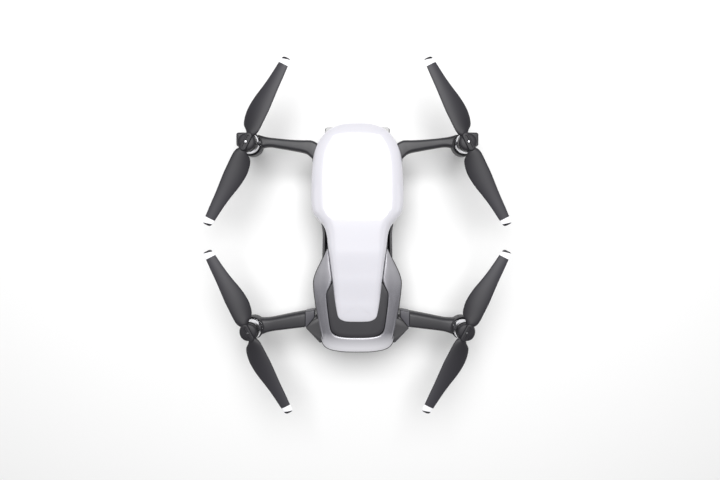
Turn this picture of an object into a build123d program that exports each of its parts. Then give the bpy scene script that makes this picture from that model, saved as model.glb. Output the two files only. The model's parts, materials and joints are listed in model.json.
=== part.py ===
"""Folding camera quadcopter: every sub-part as its own STEP file, in millimetres.

Frame: +Z up, the nose faces -Y, the craft's left side is +X. The origin is on the ground under
the middle of the craft, which stands on its landing legs with all arms open.
"""

from math import cos, hypot, radians, sin
import os

from build123d import *

# ---------------------------------------------------------------- driving dimensions
MOTOR_X = 80.4              # motor axes, each side of the middle plane
MOTOR_Y = 69.8              # motor axes, ahead of and behind the middle
PROP_RADIUS = 67.3
BLADE_ANGLE = 27.3          # blade line against the craft's length, arms open

WALL = 1.6                  # moulded shell wall
GAP = 0.3                   # parting gap between separate covers
RUN = 0.05                  # radial clearance of every shaft and pin in its hole

BELLY_Z = 18.0              # underside of the lower shell
SHELL_SPLIT_Z = 46.2        # top edge of the lower shell
CROWN_Z = 57.6              # highest point of the top shell
SKIRT_Z = 40.6              # underside of the tail trim's skirt

ARM_BOTTOM_Z = 33.0
ARM_TOP_Z = 45.0
FRONT_PIVOT = (26.5, -58.0)         # upright pin of the left front arm
FRONT_KNUCKLE_R = 7.5
FRONT_FOLD_POCKET = (-74.5, -44.5)  # fore and aft ends of the slot that the front arm turns in
REAR_PIVOT = (34.6, 64.0, 36.0)     # middle of the left rear arm's hinge face
REAR_AXIS_ANGLE = 39.3              # hinge pin against the X axis, seen from above
REAR_KNUCKLE_R = 6.8
PIN_R = 2.2

POD_R = 8.8                 # cup that holds each motor
POD_FLOOR = 5.0
BELL_R = 7.7
BELL_WALL = 0.9
BELL_BOTTOM_Z = 44.6
BELL_TOP_Z = 57.0
STATOR_R = 6.3
SHAFT_R = 1.5
MOUNT_R = 7.2
POST_R = 2.4                # centre post that the propeller turns onto
HUB_R = 6.5
HUB_BOTTOM_Z = 58.8
HUB_TOP_Z = 64.0
BLADE_Z = 61.0

LEG_PIVOT = (MOTOR_X + 6.6, -MOTOR_Y - 4.0, 28.5)   # cross pin of the left front leg
LEG_PIN_R = 1.2
LEG_WIDTH = 6.8
LEG_THICK = 5.6
LEG_PAD = 1.8               # height of the rubber tip of a leg
KNUCKLE_WIDTH = 10.6
REAR_FOOT = (19.0, 76.0)
FOOT_PAD = 1.6

BATTERY = (20.4, -16.0, 72.0, 16.0, 29.6)    # half width, front, back, bottom, top
BUTTON = (0.0, 60.0)        # power button, in the battery's belly
BUTTON_R = 4.0
LIGHTS_X = (-9.0, -3.0, 3.0, 9.0)
LIGHTS_Y = 51.0
LATCH_Y = (56.0, 66.0)
PLATE_Z = (30.0, 32.2)      # metal hinge frame plate
LUG_Z = 28.6                # underside of the frame's lugs below the front knuckles
BAY_HALF = 17.0             # gimbal bay in the nose
BAY_BACK_Y = -51.0
BAY_TOP_Z = 45.0
GIMBAL = (0.0, -66.0, 29.5)         # where the three camera axes meet
YAW_SHAFT_R = 1.0
GIMBAL_SHAFT_R = 0.9        # roll and tilt shafts
LENS_R = 3.4
PORT = (40.0, 49.5, 19.8, 25.8)     # side port cover: front, back, bottom, top
SCREW_PLACES = [(22.3, -40.0), (22.6, 30.0)]         # belly screws, left side
SCREW_R = 1.0

BOARD_Z = 36.0              # underside of the main board
BOARD_THICK = 1.4
BOARD_TOP_Z = BOARD_Z + BOARD_THICK
FAN_CENTRE = (0.0, 16.0)
FAN_R = 11.5
FAN_BLADES = 9
FINS = 9
COILS = 9

# half outlines, seen from above, from the nose to the tail
TOP_OUTLINE = [
    (7.0, -84.8), (13.6, -83.5), (19.6, -81.2), (23.4, -78.4), (26.9, -74.2), (29.7, -69.6),
    (32.2, -63.0), (33.4, -56.0), (34.2, -46.0), (34.6, -35.0), (34.6, -26.0), (33.4, -19.0),
    (29.3, -13.2), (25.2, -8.0), (23.2, -2.0), (22.2, 7.0), (20.7, 17.6), (18.9, 32.0),
    (17.1, 47.0), (15.6, 56.0), (14.3, 60.6), (11.5, 62.9), (6.5, 64.0),
]
LOWER_OUTLINE = [
    (8.0, -80.0), (17.0, -79.4), (23.6, -76.0), (27.4, -70.0), (29.0, -61.0), (29.2, -50.0),
    (29.2, -36.0), (29.0, -22.0), (27.6, -12.0), (26.4, -5.0), (26.4, 6.0), (26.6, 17.0),
    (27.2, 27.0), (27.9, 38.0), (28.3, 50.0), (28.4, 62.0), (27.9, 72.0), (25.6, 80.6),
    (18.8, 85.9), (9.0, 87.3),
]
TRIM_OUTLINE = [
    (22.6, 8.9), (25.2, 14.8), (28.0, 20.2), (31.0, 26.2), (32.9, 31.4), (33.5, 35.4), (33.0, 41.9),
    (32.1, 49.6), (31.1, 57.2), (29.7, 67.2), (28.5, 74.9), (27.1, 80.2), (24.7, 83.7), (21.4, 85.7),
    (16.8, 86.9), (9.4, 87.8),
]
TRIM_END_Y = 88.0
DECK_OUTLINE = [
    (19.4, 34.0), (21.8, 38.4), (23.6, 42.4), (23.4, 48.7), (22.4, 57.8), (20.9, 68.5),
    (19.6, 72.4), (16.6, 74.9), (12.0, 76.1), (6.0, 76.6),
]
DECK_END_Y = 76.7
# the top shell's crown line, seen from the side: (y, z)
CROWN_LINE = [(-88.0, 50.6), (-72.0, 55.2), (-48.0, 57.3), (-20.0, 57.6), (10.0, 57.0),
              (40.0, 54.4), (66.0, 50.8)]

# blade planform: share of the radius, bulged side, straight side, pitch in degrees
BLADE_STATIONS = [
    (0.104, 5.2, 4.0, 16.0), (0.2155, 9.6, 5.0, 15.0), (0.327, 10.8, 4.9, 13.0),
    (0.505, 9.4, 4.2, 10.0), (0.6835, 6.9, 3.3, 8.0), (0.862, 5.4, 2.6, 6.0),
    (0.973, 4.4, 2.0, 5.0), (1.0, 3.0, 1.2, 5.0),
]
BLADE_THICK = 1.1

# the left arms from above: front edge outwards, then the rear edge back inwards
FRONT_ARM_EDGE = [
    (26.0, -67.0), (33.0, -73.0), (40.5, -73.2), (MOTOR_X - 10.4, -MOTOR_Y - 5.8),
    (MOTOR_X - 0.4, -MOTOR_Y - 7.6), (MOTOR_X - 0.4, -MOTOR_Y + 6.2),
    (MOTOR_X - 10.4, -MOTOR_Y + 1.0), (41.0, -63.6), (34.4, -59.6), (28.0, -53.0),
]
REAR_ARM_EDGE = [
    (33.4, 56.2), (42.0, 57.6), (MOTOR_X - 8.4, MOTOR_Y - 6.8), (MOTOR_X - 0.4, MOTOR_Y - 7.4),
    (MOTOR_X - 0.4, MOTOR_Y + 7.6), (MOTOR_X - 9.4, MOTOR_Y + 4.6), (46.0, 70.2), (38.0, 70.6),
    (33.0, 66.0),
]


# ---------------------------------------------------------------- helpers
def both(shape):
    """A shape of the left side together with its mirror image."""
    return Compound(children=[*shape.solids(), *mirror(shape, about=Plane.YZ).solids()])


def grown(points, distance):
    """Half outline moved outwards by a distance, along its own normals."""
    result = []
    count = len(points)
    for i, (x, y) in enumerate(points):
        before = points[i - 1] if i else (-x, y)
        after = points[i + 1] if i < count - 1 else (-x, y)
        dx, dy = after[0] - before[0], after[1] - before[1]
        size = hypot(dx, dy)
        result.append((x + distance * dy / size, y - distance * dx / size))
    return result


def ring(points, z):
    """Smooth closed curve through a half outline and its mirror image, at height z."""
    loop = points + [(-x, y) for x, y in reversed(points)]
    return Wire([Edge.make_spline([(x, y, z) for x, y in loop], periodic=True)])


def slab(points, bottom, top):
    """Upright block with a smooth symmetric outline."""
    return Solid.extrude(Face(ring(points, bottom)), Vector(0, 0, top - bottom))


def stack(points, levels):
    """Solid through the outline at several heights: (z, distance it is moved inwards)."""
    return Solid.make_loft([ring(grown(points, -inset), z) for z, inset in levels], ruled=True)


def poly_slab(points, bottom, top):
    """Upright block on a straight-edged outline."""
    face = make_face(Polyline(*points, close=True))
    return extrude(face, top - bottom).moved(Location((0, 0, bottom)))


def block(low, high):
    """Box between two corners."""
    size = [b - a for a, b in zip(low, high)]
    middle = [(a + b) / 2 for a, b in zip(low, high)]
    return Pos(*middle) * Box(*size)


def rod(radius, start, end):
    """Round bar between two points."""
    line = Vector(*end) - Vector(*start)
    plane = Plane(origin=start, z_dir=line)
    return Solid.make_cylinder(radius, line.length, plane)


def disc(radius, centre, bottom, top):
    """Upright cylinder round a point seen from above."""
    return rod(radius, (centre[0], centre[1], bottom), (centre[0], centre[1], top))


def save(name, shape):
    """Writes one sub-part."""
    solids = shape.solids()
    export_step(Compound(children=solids) if len(solids) > 1 else solids[0], f"parts/{name}.step")


def rear_axis_point(along, across=0.0, up=0.0):
    """Point in the left rear hinge's own frame: along its pin, across it and up."""
    a = radians(REAR_AXIS_ANGLE)
    x, y, z = REAR_PIVOT
    return (x + along * cos(a) + across * sin(a), y - along * sin(a) + across * cos(a), z + up)


# ---------------------------------------------------------------- covers
def crown_block(drop):
    """Everything below the crown line, lowered by a distance."""
    line = Spline(*[(0, y, z - drop) for y, z in CROWN_LINE])
    first, last = CROWN_LINE[0][0], CROWN_LINE[-1][0]
    under = Polyline((0, last, CROWN_LINE[-1][1] - drop), (0, last, 30), (0, first, 30),
                     (0, first, CROWN_LINE[0][1] - drop))
    face = Face(Wire([line.edge(), *under.edges()]))
    return Solid.extrude(face, Vector(80, 0, 0)).moved(Location((-40, 0, 0)))


def top_body(inset, drop):
    """Solid dome of the top shell, with its edge rolled over."""
    low = SHELL_SPLIT_Z + GAP
    levels = [(low - drop, inset + 0.35), (low + 1.6, inset), (low + 4.2, inset + 0.5),
              (low + 7.0, inset + 2.2), (low + 9.4, inset + 5.2), (CROWN_Z + 1.0, inset + 9.5)]
    return stack(TOP_OUTLINE, levels) & crown_block(drop)


def top_shell():
    """Glossy dome, open below."""
    return top_body(0.0, 0.0) - top_body(WALL, WALL)


def lower_levels(extra):
    """Heights and insets of the lower shell: a rolled belly edge under upright sides."""
    edge = [(0.0, 5.0), (1.4, 3.35), (3.5, 1.6), (5.6, 0.8), (8.0, 0.3)]
    return [(BELLY_Z + z, inset + extra) for z, inset in edge] + [(SHELL_SPLIT_Z, extra)]


def lower_shell():
    """Tub that carries everything; open on top, under the nose and under the battery."""
    body = stack(LOWER_OUTLINE, lower_levels(0.0))
    inner = [(BELLY_Z + WALL, 6.2), (BELLY_Z + 4.0, 1.6 + WALL), (BELLY_Z + 8.5, 0.3 + WALL),
             (SHELL_SPLIT_Z + 0.1, WALL)]
    body -= stack(LOWER_OUTLINE, inner)
    body -= battery_room()
    body -= block((-BAY_HALF, -90, BELLY_Z - 1), (BAY_HALF, BAY_BACK_Y, BAY_TOP_Z))
    fore, aft = FRONT_FOLD_POCKET
    pocket = block((18.0, fore, ARM_BOTTOM_Z - 0.6), (40.0, aft, SHELL_SPLIT_Z + 1))
    pocket += block((18.0, -66.0 - GAP, LUG_Z - GAP), (40.0, -50.0, ARM_BOTTOM_Z))
    body -= pocket + mirror(pocket, about=Plane.YZ)
    body -= both(port_block(GAP, 3.0))
    body -= both(rear_root_clearance())
    body -= slot_row()
    return body - screw_bores()


def battery_room():
    """Space in the belly that the battery slides into."""
    half, front, back, _, top = BATTERY
    return block((-half - GAP, front - GAP, BELLY_Z - 20), (half + GAP, back + GAP, top + GAP))


def rear_root_clearance():
    """Room that the hinge housing and the turning arm root need in the lower shell's side."""
    housing_seat = rod(REAR_KNUCKLE_R + GAP, rear_axis_point(-14.0), rear_axis_point(3.0))
    return housing_seat & block((20, 40, 20), (60, 90, SHELL_SPLIT_Z + 1))


def slot_row():
    """Air outlets across the tail."""
    slots = [block((x - 1.2, 70, 34.0), (x + 1.2, 95, 40.0)) for x in (-12, -8, -4, 0, 4, 8, 12)]
    return Compound(children=[s.solid() for s in slots])


def screw_bores():
    """Stepped holes for the belly screws."""
    holes = [disc(SCREW_R + 0.1, p, BELLY_Z - 1, BELLY_Z + 6)
             + disc(2 * SCREW_R, p, BELLY_Z - 1, BELLY_Z + 1.0) for p in SCREW_PLACES]
    return Compound(children=[s for h in holes for s in both(h).solids()])


def body_screws():
    """Belly screws: pan head and shank."""
    screws = []
    for p in SCREW_PLACES:
        head = disc(2 * SCREW_R - 0.1, p, BELLY_Z - 0.2, BELLY_Z + 0.95)
        screws.append(head + disc(SCREW_R, p, BELLY_Z + 0.9, BELLY_Z + 5.5))
    return Compound(children=[s for screw in screws for s in both(screw).solids()])


def trim_half_face():
    """Left half of the trim, seen from above: outer edge, then the inner edge forwards."""
    outer = Spline(*TRIM_OUTLINE, (0, TRIM_END_Y), tangents=[(0.6, 1), (-1, 0)])
    inner_points = [(0, DECK_END_Y), *reversed(DECK_OUTLINE)]
    inner = Spline(*inner_points)
    shell_edge = [p for p in grown(TOP_OUTLINE, GAP) if 10.0 < p[1] < 31.0]
    side = Spline(inner_points[-1], *reversed(shell_edge), TRIM_OUTLINE[0])
    middle = Line((0, TRIM_END_Y), (0, DECK_END_Y))
    return Face(Wire([outer.edge(), middle.edge(), inner.edge(), side.edge()]))


def tail_slope(rise):
    """Everything above the tail's sloping top, raised by a distance."""
    points = [(0, 0, 50.4 + rise), (0, 34.0, 51.0 + rise), (0, 76.0, 49.2 + rise),
              (0, 95.0, 46.0 + rise), (0, 95.0, 70.0), (0, 0, 70.0)]
    face = make_face(Polyline(*points, close=True))
    return Solid.extrude(face.face(), Vector(100, 0, 0)).moved(Location((-50, 0, 0)))


def tail_trim():
    """Metallic trim round the tail with a skirt that hangs outside the lower shell."""
    half = Solid.extrude(trim_half_face(), Vector(0, 0, 12)).moved(Location((0, 0, SKIRT_Z)))
    body = half + mirror(half, about=Plane.YZ)
    body -= slab(grown(LOWER_OUTLINE, GAP), SKIRT_Z - 1, SHELL_SPLIT_Z + GAP)
    body -= block((-40, 57.0, SKIRT_Z - 1), (40, 90, SHELL_SPLIT_Z + GAP))
    return largest((body & tail_tent()) - tail_slope(0.0))


def tail_tent():
    """Tent shape that slopes the trim down towards its outer edge."""
    section = Polyline((-40, 0, 30), (40, 0, 30), (40, 0, 43.5), (22, 0, 52.5), (-22, 0, 52.5),
                       (-40, 0, 43.5), close=True)
    return Solid.extrude(make_face(section).face(), Vector(0, 100, 0))


def largest(shape):
    """The biggest solid of a cut shape."""
    return max(shape.solids(), key=lambda s: s.volume)


def tail_deck():
    """Dark satin panel in the trim, round the end of the tongue."""
    deck = slab_half(DECK_OUTLINE, (0, DECK_END_Y - GAP), 44.6, 50.0)
    deck -= slab(grown(TOP_OUTLINE, GAP), 40, 60)
    return largest(deck & block((-30, 33.6, 40), (30, 80, 60)) - tail_slope(-0.8))


def slab_half(points, last, bottom, top):
    """Block on a half outline that opens at its first point, and its mirror image."""
    inside = [(x - GAP, y) for x, y in points]
    curve = Spline(*inside, last)
    first = inside[0]
    edges = [curve.edge(), Line(last, (0, first[1])).edge(), Line((0, first[1]), first).edge()]
    half = Solid.extrude(Face(Wire(edges)), Vector(0, 0, top - bottom)).moved(Location((0, 0, bottom)))
    return half + mirror(half, about=Plane.YZ)


# ---------------------------------------------------------------- nose, windows and ports
def nose_frame():
    """Bezel round the gimbal bay, open in front and below."""
    t = 1.4
    half = BAY_HALF - 0.1
    outer = block((-half, -80.5, BELLY_Z + 4), (half, BAY_BACK_Y - 0.1, BAY_TOP_Z - 0.1))
    inner = block((-BAY_HALF + t, -90, BELLY_Z), (BAY_HALF - t, BAY_BACK_Y - t, BAY_TOP_Z - t))
    return outer - inner


def front_windows():
    """Dark forward sensor windows set in the nose's corners."""
    window = block((17.6, -82.7, 34.5), (24.4, -76.0, 44.0))
    outer = window.edges().filter_by(Axis.Z).sort_by(lambda e: e.center().X - e.center().Y)[-1]
    return both(largest(fillet(outer, 2.2) - slab(grown(LOWER_OUTLINE, 0.05), 30, 50)))


def rear_windows():
    """Rear sensor windows: slim dark pieces on the tail."""
    window = block((9.0, 81.0, 41.0), (19.0, 90.0, 45.0)) & slab(grown(LOWER_OUTLINE, 0.8), 40, 46)
    return both(largest(window - slab(grown(LOWER_OUTLINE, 0.05), 30, 50)))


def belly_window():
    """Downward sensor cover behind the gimbal bay."""
    return block((-9.0, -47.0, BELLY_Z - 0.8), (9.0, -22.0, BELLY_Z))


def sensor_windows():
    """All five dark sensor covers."""
    parts = [front_windows(), rear_windows(), belly_window()]
    return Compound(children=[s for p in parts for s in p.solids()])


def port_block(margin, depth):
    """Opening of the left side port in the lower shell."""
    front, back, bottom, top = PORT
    band = stack(LOWER_OUTLINE, lower_levels(-1.0)) - stack(LOWER_OUTLINE, lower_levels(depth))
    window = block((10, front - margin, bottom - margin), (50, back + margin, top + margin))
    return largest(band & window)


def port_cover():
    """Left port cover, a flap that follows the shell's side."""
    front, back, bottom, top = PORT
    band = stack(LOWER_OUTLINE, lower_levels(0.0)) - stack(LOWER_OUTLINE, lower_levels(1.2))
    return largest(band & block((10, front, bottom), (50, back, top)))


# ---------------------------------------------------------------- inside the body
def hinge_frame():
    """Metal plate that ties the four arm hinges together, with an upright at each front pin."""
    low, high = PLATE_Z
    plate = slab(grown(LOWER_OUTLINE, -WALL - 1.0), low, high)
    plate &= block((-40, BAY_BACK_Y + GAP, low), (40, 70, high))
    wing = poly_slab([(15, -50.0), (15, -49), (22, -49), (32, -52), (32, -64), (26.5, -66),
                      (18.6, -64), (18.6, -50.0)], LUG_Z, high)
    plate += wing + mirror(wing, about=Plane.YZ)
    plate -= block((-12, -34, low - 1), (12, -14, high + 1))
    for p in (FRONT_PIVOT, (-FRONT_PIVOT[0], FRONT_PIVOT[1])):
        plate -= disc(PIN_R, p, LUG_Z - 1, high + 1)
    return largest(plate)


def front_hinge_pins():
    """Upright pins of the front arms, held in the frame's lugs."""
    return both(disc(PIN_R, FRONT_PIVOT, LUG_Z, SHELL_SPLIT_Z + 0.6))


def hinge_brace():
    """Cross bar over the front arm pins, inside the top shell."""
    low = SHELL_SPLIT_Z + 0.6
    x, y = FRONT_PIVOT
    bar = block((-x, y - 4, low), (x, y + 4, low + 1.6)) + disc(4.5, (x, y), low, low + 1.6)
    return bar + disc(4.5, (-x, y), low, low + 1.6)


def rear_hinge_housings():
    """Fixed halves of the rear arm hinges, each a barrel on a wedge that joins the lower shell."""
    barrel = rod(REAR_KNUCKLE_R, rear_axis_point(-11.0), rear_axis_point(-RUN * 2))
    edge = [(24.0, 67.0), (24.0, 80.4), (28.8, 81.2), (39.4, 70.0), (34.6, 64.2), (28.6, 62.0)]
    wedge = poly_slab(edge, REAR_PIVOT[2] - REAR_KNUCKLE_R, SHELL_SPLIT_Z - 1.4)
    behind = poly_slab([rear_axis_point(-RUN * 2, 30)[:2], rear_axis_point(-RUN * 2, -30)[:2],
                        rear_axis_point(-40, -30)[:2], rear_axis_point(-40, 30)[:2]], 20, 60)
    body = (barrel + wedge) & behind
    body -= slab(grown(LOWER_OUTLINE, 0.02), 20, 60)
    body -= rod(PIN_R, rear_axis_point(-30), rear_axis_point(5))
    return both(largest(body))


def rear_hinge_pins():
    """Rear arm pins, held in the housing."""
    return both(rod(PIN_R, rear_axis_point(-7.0), rear_axis_point(7.5)))


def main_board():
    """Main circuit board with its larger chips."""
    board = block((-17.5, -44.0, BOARD_Z), (17.5, 56.0, BOARD_TOP_Z))
    chips = [(-9, -6, 8, 8, 1.2), (6, 40, 10, 8, 1.5), (-8, 46, 6, 6, 1.0), (10, -6, 6, 6, 1.0)]
    for x, y, w, d, h in chips:
        board += block((x - w / 2, y - d / 2, BOARD_TOP_Z), (x + w / 2, y + d / 2, BOARD_TOP_Z + h))
    for x in (-15.0, 15.0):
        for y in (-41.0, 52.0):
            board += disc(2.0, (x, y), PLATE_Z[1], BOARD_Z)
    return board


def heat_sink():
    """Finned block on the main chip."""
    foot = BOARD_TOP_Z + 1.8
    body = block((-13, -40, BOARD_TOP_Z), (13, -12, foot))
    for i in range(FINS):
        x = -12.6 + i * 3.05
        body += block((x, -40, foot), (x + 0.8, -12, BOARD_TOP_Z + 7.0))
    return body


def fan_housing():
    """Round fan case on the main board."""
    low, floor = BOARD_TOP_Z, BOARD_TOP_Z + 1.0
    case = disc(FAN_R + 1.6, FAN_CENTRE, low, low + 7.6)
    case -= disc(FAN_R + 0.6, FAN_CENTRE, floor, low + 9)
    case -= block((-9, FAN_CENTRE[1] - FAN_R - 3, floor), (9, FAN_CENTRE[1] - 4, low + 9))
    return case + disc(SHAFT_R, FAN_CENTRE, floor, low + 6.0)


def fan_rotor():
    """Fan impeller: hub with straight blades."""
    x, y = FAN_CENTRE
    low = BOARD_TOP_Z + 1.4
    hub = disc(4.2, FAN_CENTRE, low, low + 5.6)
    hub -= disc(SHAFT_R + RUN, FAN_CENTRE, low - 1, low + 4.9)
    blade = block((x + 3.9, y - 0.3, low), (x + FAN_R - 0.3, y + 0.3, low + 5.0))
    axis = Axis((x, y, 0), (0, 0, 1))
    for i in range(FAN_BLADES):
        hub += blade.rotate(axis, i * 360.0 / FAN_BLADES)
    return hub


def satellite_receiver():
    """Square ceramic antenna on its board, under the tongue."""
    low, top = BOARD_TOP_Z + 1.5, BOARD_TOP_Z + 2.5
    return block((-9, 36.0, low), (9, 54.0, top)) + block((-8, 37.0, top), (8, 53.0, top + 3.8))


# ---------------------------------------------------------------- battery
def battery_case():
    """Slide-in battery that forms the belly."""
    half, front, back, bottom, top = BATTERY
    case = fillet(block((-half, front, bottom), (half, back, top)).edges().filter_by(Axis.Z), 3.0)
    case -= block((-half + 1.4, front + 1.4, bottom + 3.2), (half - 1.4, back - 1.4, top - 1.0))
    case -= disc(BUTTON_R + RUN, BUTTON, bottom - 1, bottom + 3.3)
    for x in LIGHTS_X:
        case -= disc(0.9, (x, LIGHTS_Y), bottom - 1, bottom + 0.8)
    slot = block((half - 5.6, LATCH_Y[0], bottom - 1), (half + 1, LATCH_Y[1], bottom + 2.6))
    return case - slot - mirror(slot, about=Plane.YZ)


def battery_cells():
    """Three flat cells in a stack."""
    half, front, back, bottom, top = BATTERY
    low = bottom + 3.6
    tall = (top - 1.4 - low) / 3
    cells = [block((-half + 2, front + 2.4, low + i * tall),
                   (half - 2, 54.0, low + (i + 1) * tall - GAP)) for i in range(3)]
    return Compound(children=[c.solid() for c in cells])


def power_button():
    """Round push button in the battery's belly."""
    return disc(BUTTON_R, BUTTON, BATTERY[3] - 0.5, BATTERY[3] + 2.0)


def charge_lights():
    """Row of small lights beside the power button."""
    low = BATTERY[3] + 0.1
    lights = [disc(0.85, (x, LIGHTS_Y), low, low + 0.7) for x in LIGHTS_X]
    return Compound(children=[light.solids()[0] for light in lights])


def battery_latch():
    """Left squeeze latch of the battery."""
    half, bottom = BATTERY[0], BATTERY[3]
    front, back = LATCH_Y
    return block((half - 3.6, front + GAP, bottom - 0.6), (half - 0.1, back - GAP, bottom + 2.4))


# ---------------------------------------------------------------- feet, legs and arms
def rear_foot():
    """Left rear foot under the tail."""
    x, y = REAR_FOOT
    levels = [(FOOT_PAD, 4.6, 4.0), (9.0, 5.6, 6.0), (BELLY_Z + 1.0, 7.4, 11.0),
              (BELLY_Z + 3.4, 7.4, 12.0)]
    wires = [Wire(Plane((x, y, z)) * Rectangle(w, d).wire()) for z, w, d in levels]
    foot = Solid.make_loft(wires, ruled=True)
    return largest(foot - stack(LOWER_OUTLINE, lower_levels(-0.02)) - battery_room())


def rear_foot_pad():
    """Left rear rubber pad."""
    x, y = REAR_FOOT
    return block((x - 2.3, y - 2.0, 0.0), (x + 2.3, y + 2.0, FOOT_PAD))


def front_arm():
    """Left front arm: knuckle, beam, motor cup and leg clevis in one casting."""
    knuckle = disc(FRONT_KNUCKLE_R, FRONT_PIVOT, ARM_BOTTOM_Z, ARM_TOP_Z)
    beam = poly_slab(FRONT_ARM_EDGE, ARM_BOTTOM_Z, ARM_TOP_Z)
    arm = knuckle + beam + disc(POD_R, (MOTOR_X, -MOTOR_Y), ARM_BOTTOM_Z, ARM_TOP_Z + 1.0)
    x, y, z = LEG_PIVOT
    half = KNUCKLE_WIDTH / 2
    arm += block((x - 5.0, y - half, z - 3.4), (x + 4.6, y + half, ARM_TOP_Z - 1.5))
    side = LEG_WIDTH / 2 + GAP / 2
    arm -= block((x - 20.0, y - side, z - 10), (x + 20, y + side, z + 4.2))
    arm -= rod(LEG_PIN_R, (x, y - 20, z), (x, y + 20, z))
    arm -= motor_well(-MOTOR_Y)
    return largest(arm - disc(PIN_R + RUN, FRONT_PIVOT, ARM_BOTTOM_Z - 1, ARM_TOP_Z + 1))


def motor_well(y):
    """Pocket in the arm's cup for the motor."""
    return disc(BELL_R + 0.5, (MOTOR_X, y), ARM_BOTTOM_Z + POD_FLOOR, ARM_TOP_Z + 5)


def rear_arm():
    """Left rear arm: hinge barrel, beam and motor cup."""
    beam = poly_slab(REAR_ARM_EDGE, ARM_BOTTOM_Z, ARM_TOP_Z)
    ahead = poly_slab([rear_axis_point(RUN, 40)[:2], rear_axis_point(RUN, -40)[:2],
                       rear_axis_point(80, -40)[:2], rear_axis_point(80, 40)[:2]], 0, 80)
    arm = beam & ahead
    barrel = rod(REAR_KNUCKLE_R, rear_axis_point(RUN), rear_axis_point(9.0))
    arm += barrel & poly_slab(REAR_ARM_EDGE, 0, ARM_TOP_Z)
    arm += disc(POD_R, (MOTOR_X, MOTOR_Y), ARM_BOTTOM_Z, ARM_TOP_Z + 1.0)
    arm -= motor_well(MOTOR_Y)
    return largest(arm - rod(PIN_R + RUN, rear_axis_point(-1), rear_axis_point(7.8)))


def front_leg():
    """Left landing leg: eye on the cross pin, tapering shank."""
    x, y, z = LEG_PIVOT
    half = LEG_WIDTH / 2
    eye = rod(LEG_THICK / 2 + 0.2, (x, y - half, z), (x, y + half, z))
    shank = block((x - LEG_THICK / 2, y - half, LEG_PAD), (x + LEG_THICK / 2, y + half, z))
    return eye + shank - rod(LEG_PIN_R + RUN, (x, y - 20, z), (x, y + 20, z))


def leg_pad():
    """Left rubber leg tip."""
    x, y, _ = LEG_PIVOT
    thick, wide = LEG_THICK / 2, LEG_WIDTH / 2
    return block((x - thick, y - wide, 0), (x + thick, y + wide, LEG_PAD))


def leg_pin():
    """Left leg's cross pin."""
    x, y, z = LEG_PIVOT
    half = KNUCKLE_WIDTH / 2 - 0.2
    return rod(LEG_PIN_R, (x, y - half, z), (x, y + half, z))


# ---------------------------------------------------------------- motors and propellers
def stator(y):
    """Bearing tube and wound laminations of one motor."""
    floor = ARM_BOTTOM_Z + POD_FLOOR
    body = disc(3.0, (MOTOR_X, y), floor, BELL_TOP_Z - 3.0)
    core = disc(STATOR_R, (MOTOR_X, y), 46.0, 52.5)
    axis = Axis((MOTOR_X, y, 0), (0, 0, 1))
    slot = block((MOTOR_X + 3.6, y - 0.7, 45), (MOTOR_X + 10, y + 0.7, 53))
    for i in range(COILS):
        core -= slot.rotate(axis, i * 360.0 / COILS)
    return largest(body + core - disc(SHAFT_R + RUN, (MOTOR_X, y), floor - 1, 60))


def bell(y):
    """Outer motor ring with its top disc and shaft."""
    centre = (MOTOR_X, y)
    body = disc(BELL_R, centre, BELL_BOTTOM_Z, BELL_TOP_Z)
    body -= disc(BELL_R - BELL_WALL, centre, BELL_BOTTOM_Z - 1, BELL_TOP_Z - 1.5)
    return body + disc(SHAFT_R, centre, ARM_BOTTOM_Z + POD_FLOOR + 1.0, BELL_TOP_Z)


def prop_mount():
    """Left front push-and-turn lock that the propeller sits on."""
    centre = (MOTOR_X, -MOTOR_Y)
    body = disc(MOUNT_R, centre, BELL_TOP_Z, BELL_TOP_Z + 1.5)
    body += disc(POST_R, centre, BELL_TOP_Z, HUB_TOP_Z - 1.6)
    lug = block((-3.6, -0.8, BELL_TOP_Z + 1.5), (3.6, 0.8, HUB_BOTTOM_Z + 1.4))
    return body + along_blade(lug)


def along_blade(shape):
    """Puts a shape drawn along +X at the origin onto the left front motor, in line with its blades."""
    return shape.rotate(Axis.Z, 270.0 - BLADE_ANGLE).moved(Location((MOTOR_X, -MOTOR_Y, 0)))


def blade_section(share, bulge, straight, pitch):
    """One tilted section of a blade along +X."""
    r = share * PROP_RADIUS
    chord, shift = bulge + straight, (bulge - straight) / 2
    plane = Plane(origin=(r, shift * cos(radians(pitch)), BLADE_Z - shift * sin(radians(pitch))),
                  x_dir=(0, cos(radians(pitch)), -sin(radians(pitch))), z_dir=(1, 0, 0))
    thick = BLADE_THICK * (1.25 - 0.6 * share)
    return Wire(plane * Ellipse(chord / 2, thick / 2).wire())


def propeller():
    """Left front propeller: hub cap with a raised bar, and two twisted blades."""
    sections = [blade_section(*s) for s in BLADE_STATIONS]
    blade = Solid.make_loft(sections)
    hub = disc(HUB_R, (0, 0), HUB_BOTTOM_Z, HUB_TOP_Z - 1.2)
    bar = block((-7.2, -2.5, BLADE_Z), (7.2, 2.5, HUB_TOP_Z))
    bar = fillet(bar.edges().filter_by(Axis.Z), 2.4)
    root = block((4.5, -2.6, BLADE_Z - 1.0), (8.6, 3.4, BLADE_Z + 0.9))
    body = hub + bar + root + blade
    body += (root + blade).rotate(Axis.Z, 180)
    body -= disc(POST_R + RUN, (0, 0), HUB_BOTTOM_Z - 1, HUB_TOP_Z - 1.5)
    body -= block((-3.7, -0.9, HUB_BOTTOM_Z - 1), (3.7, 0.9, HUB_BOTTOM_Z + 1.5))
    body -= block((1.6, -0.7, HUB_TOP_Z - 0.9), (5.2, 0.7, HUB_TOP_Z + 1))
    body -= block((-5.2, -0.7, HUB_TOP_Z - 0.9), (-1.6, 0.7, HUB_TOP_Z + 1))
    return along_blade(body)


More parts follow.
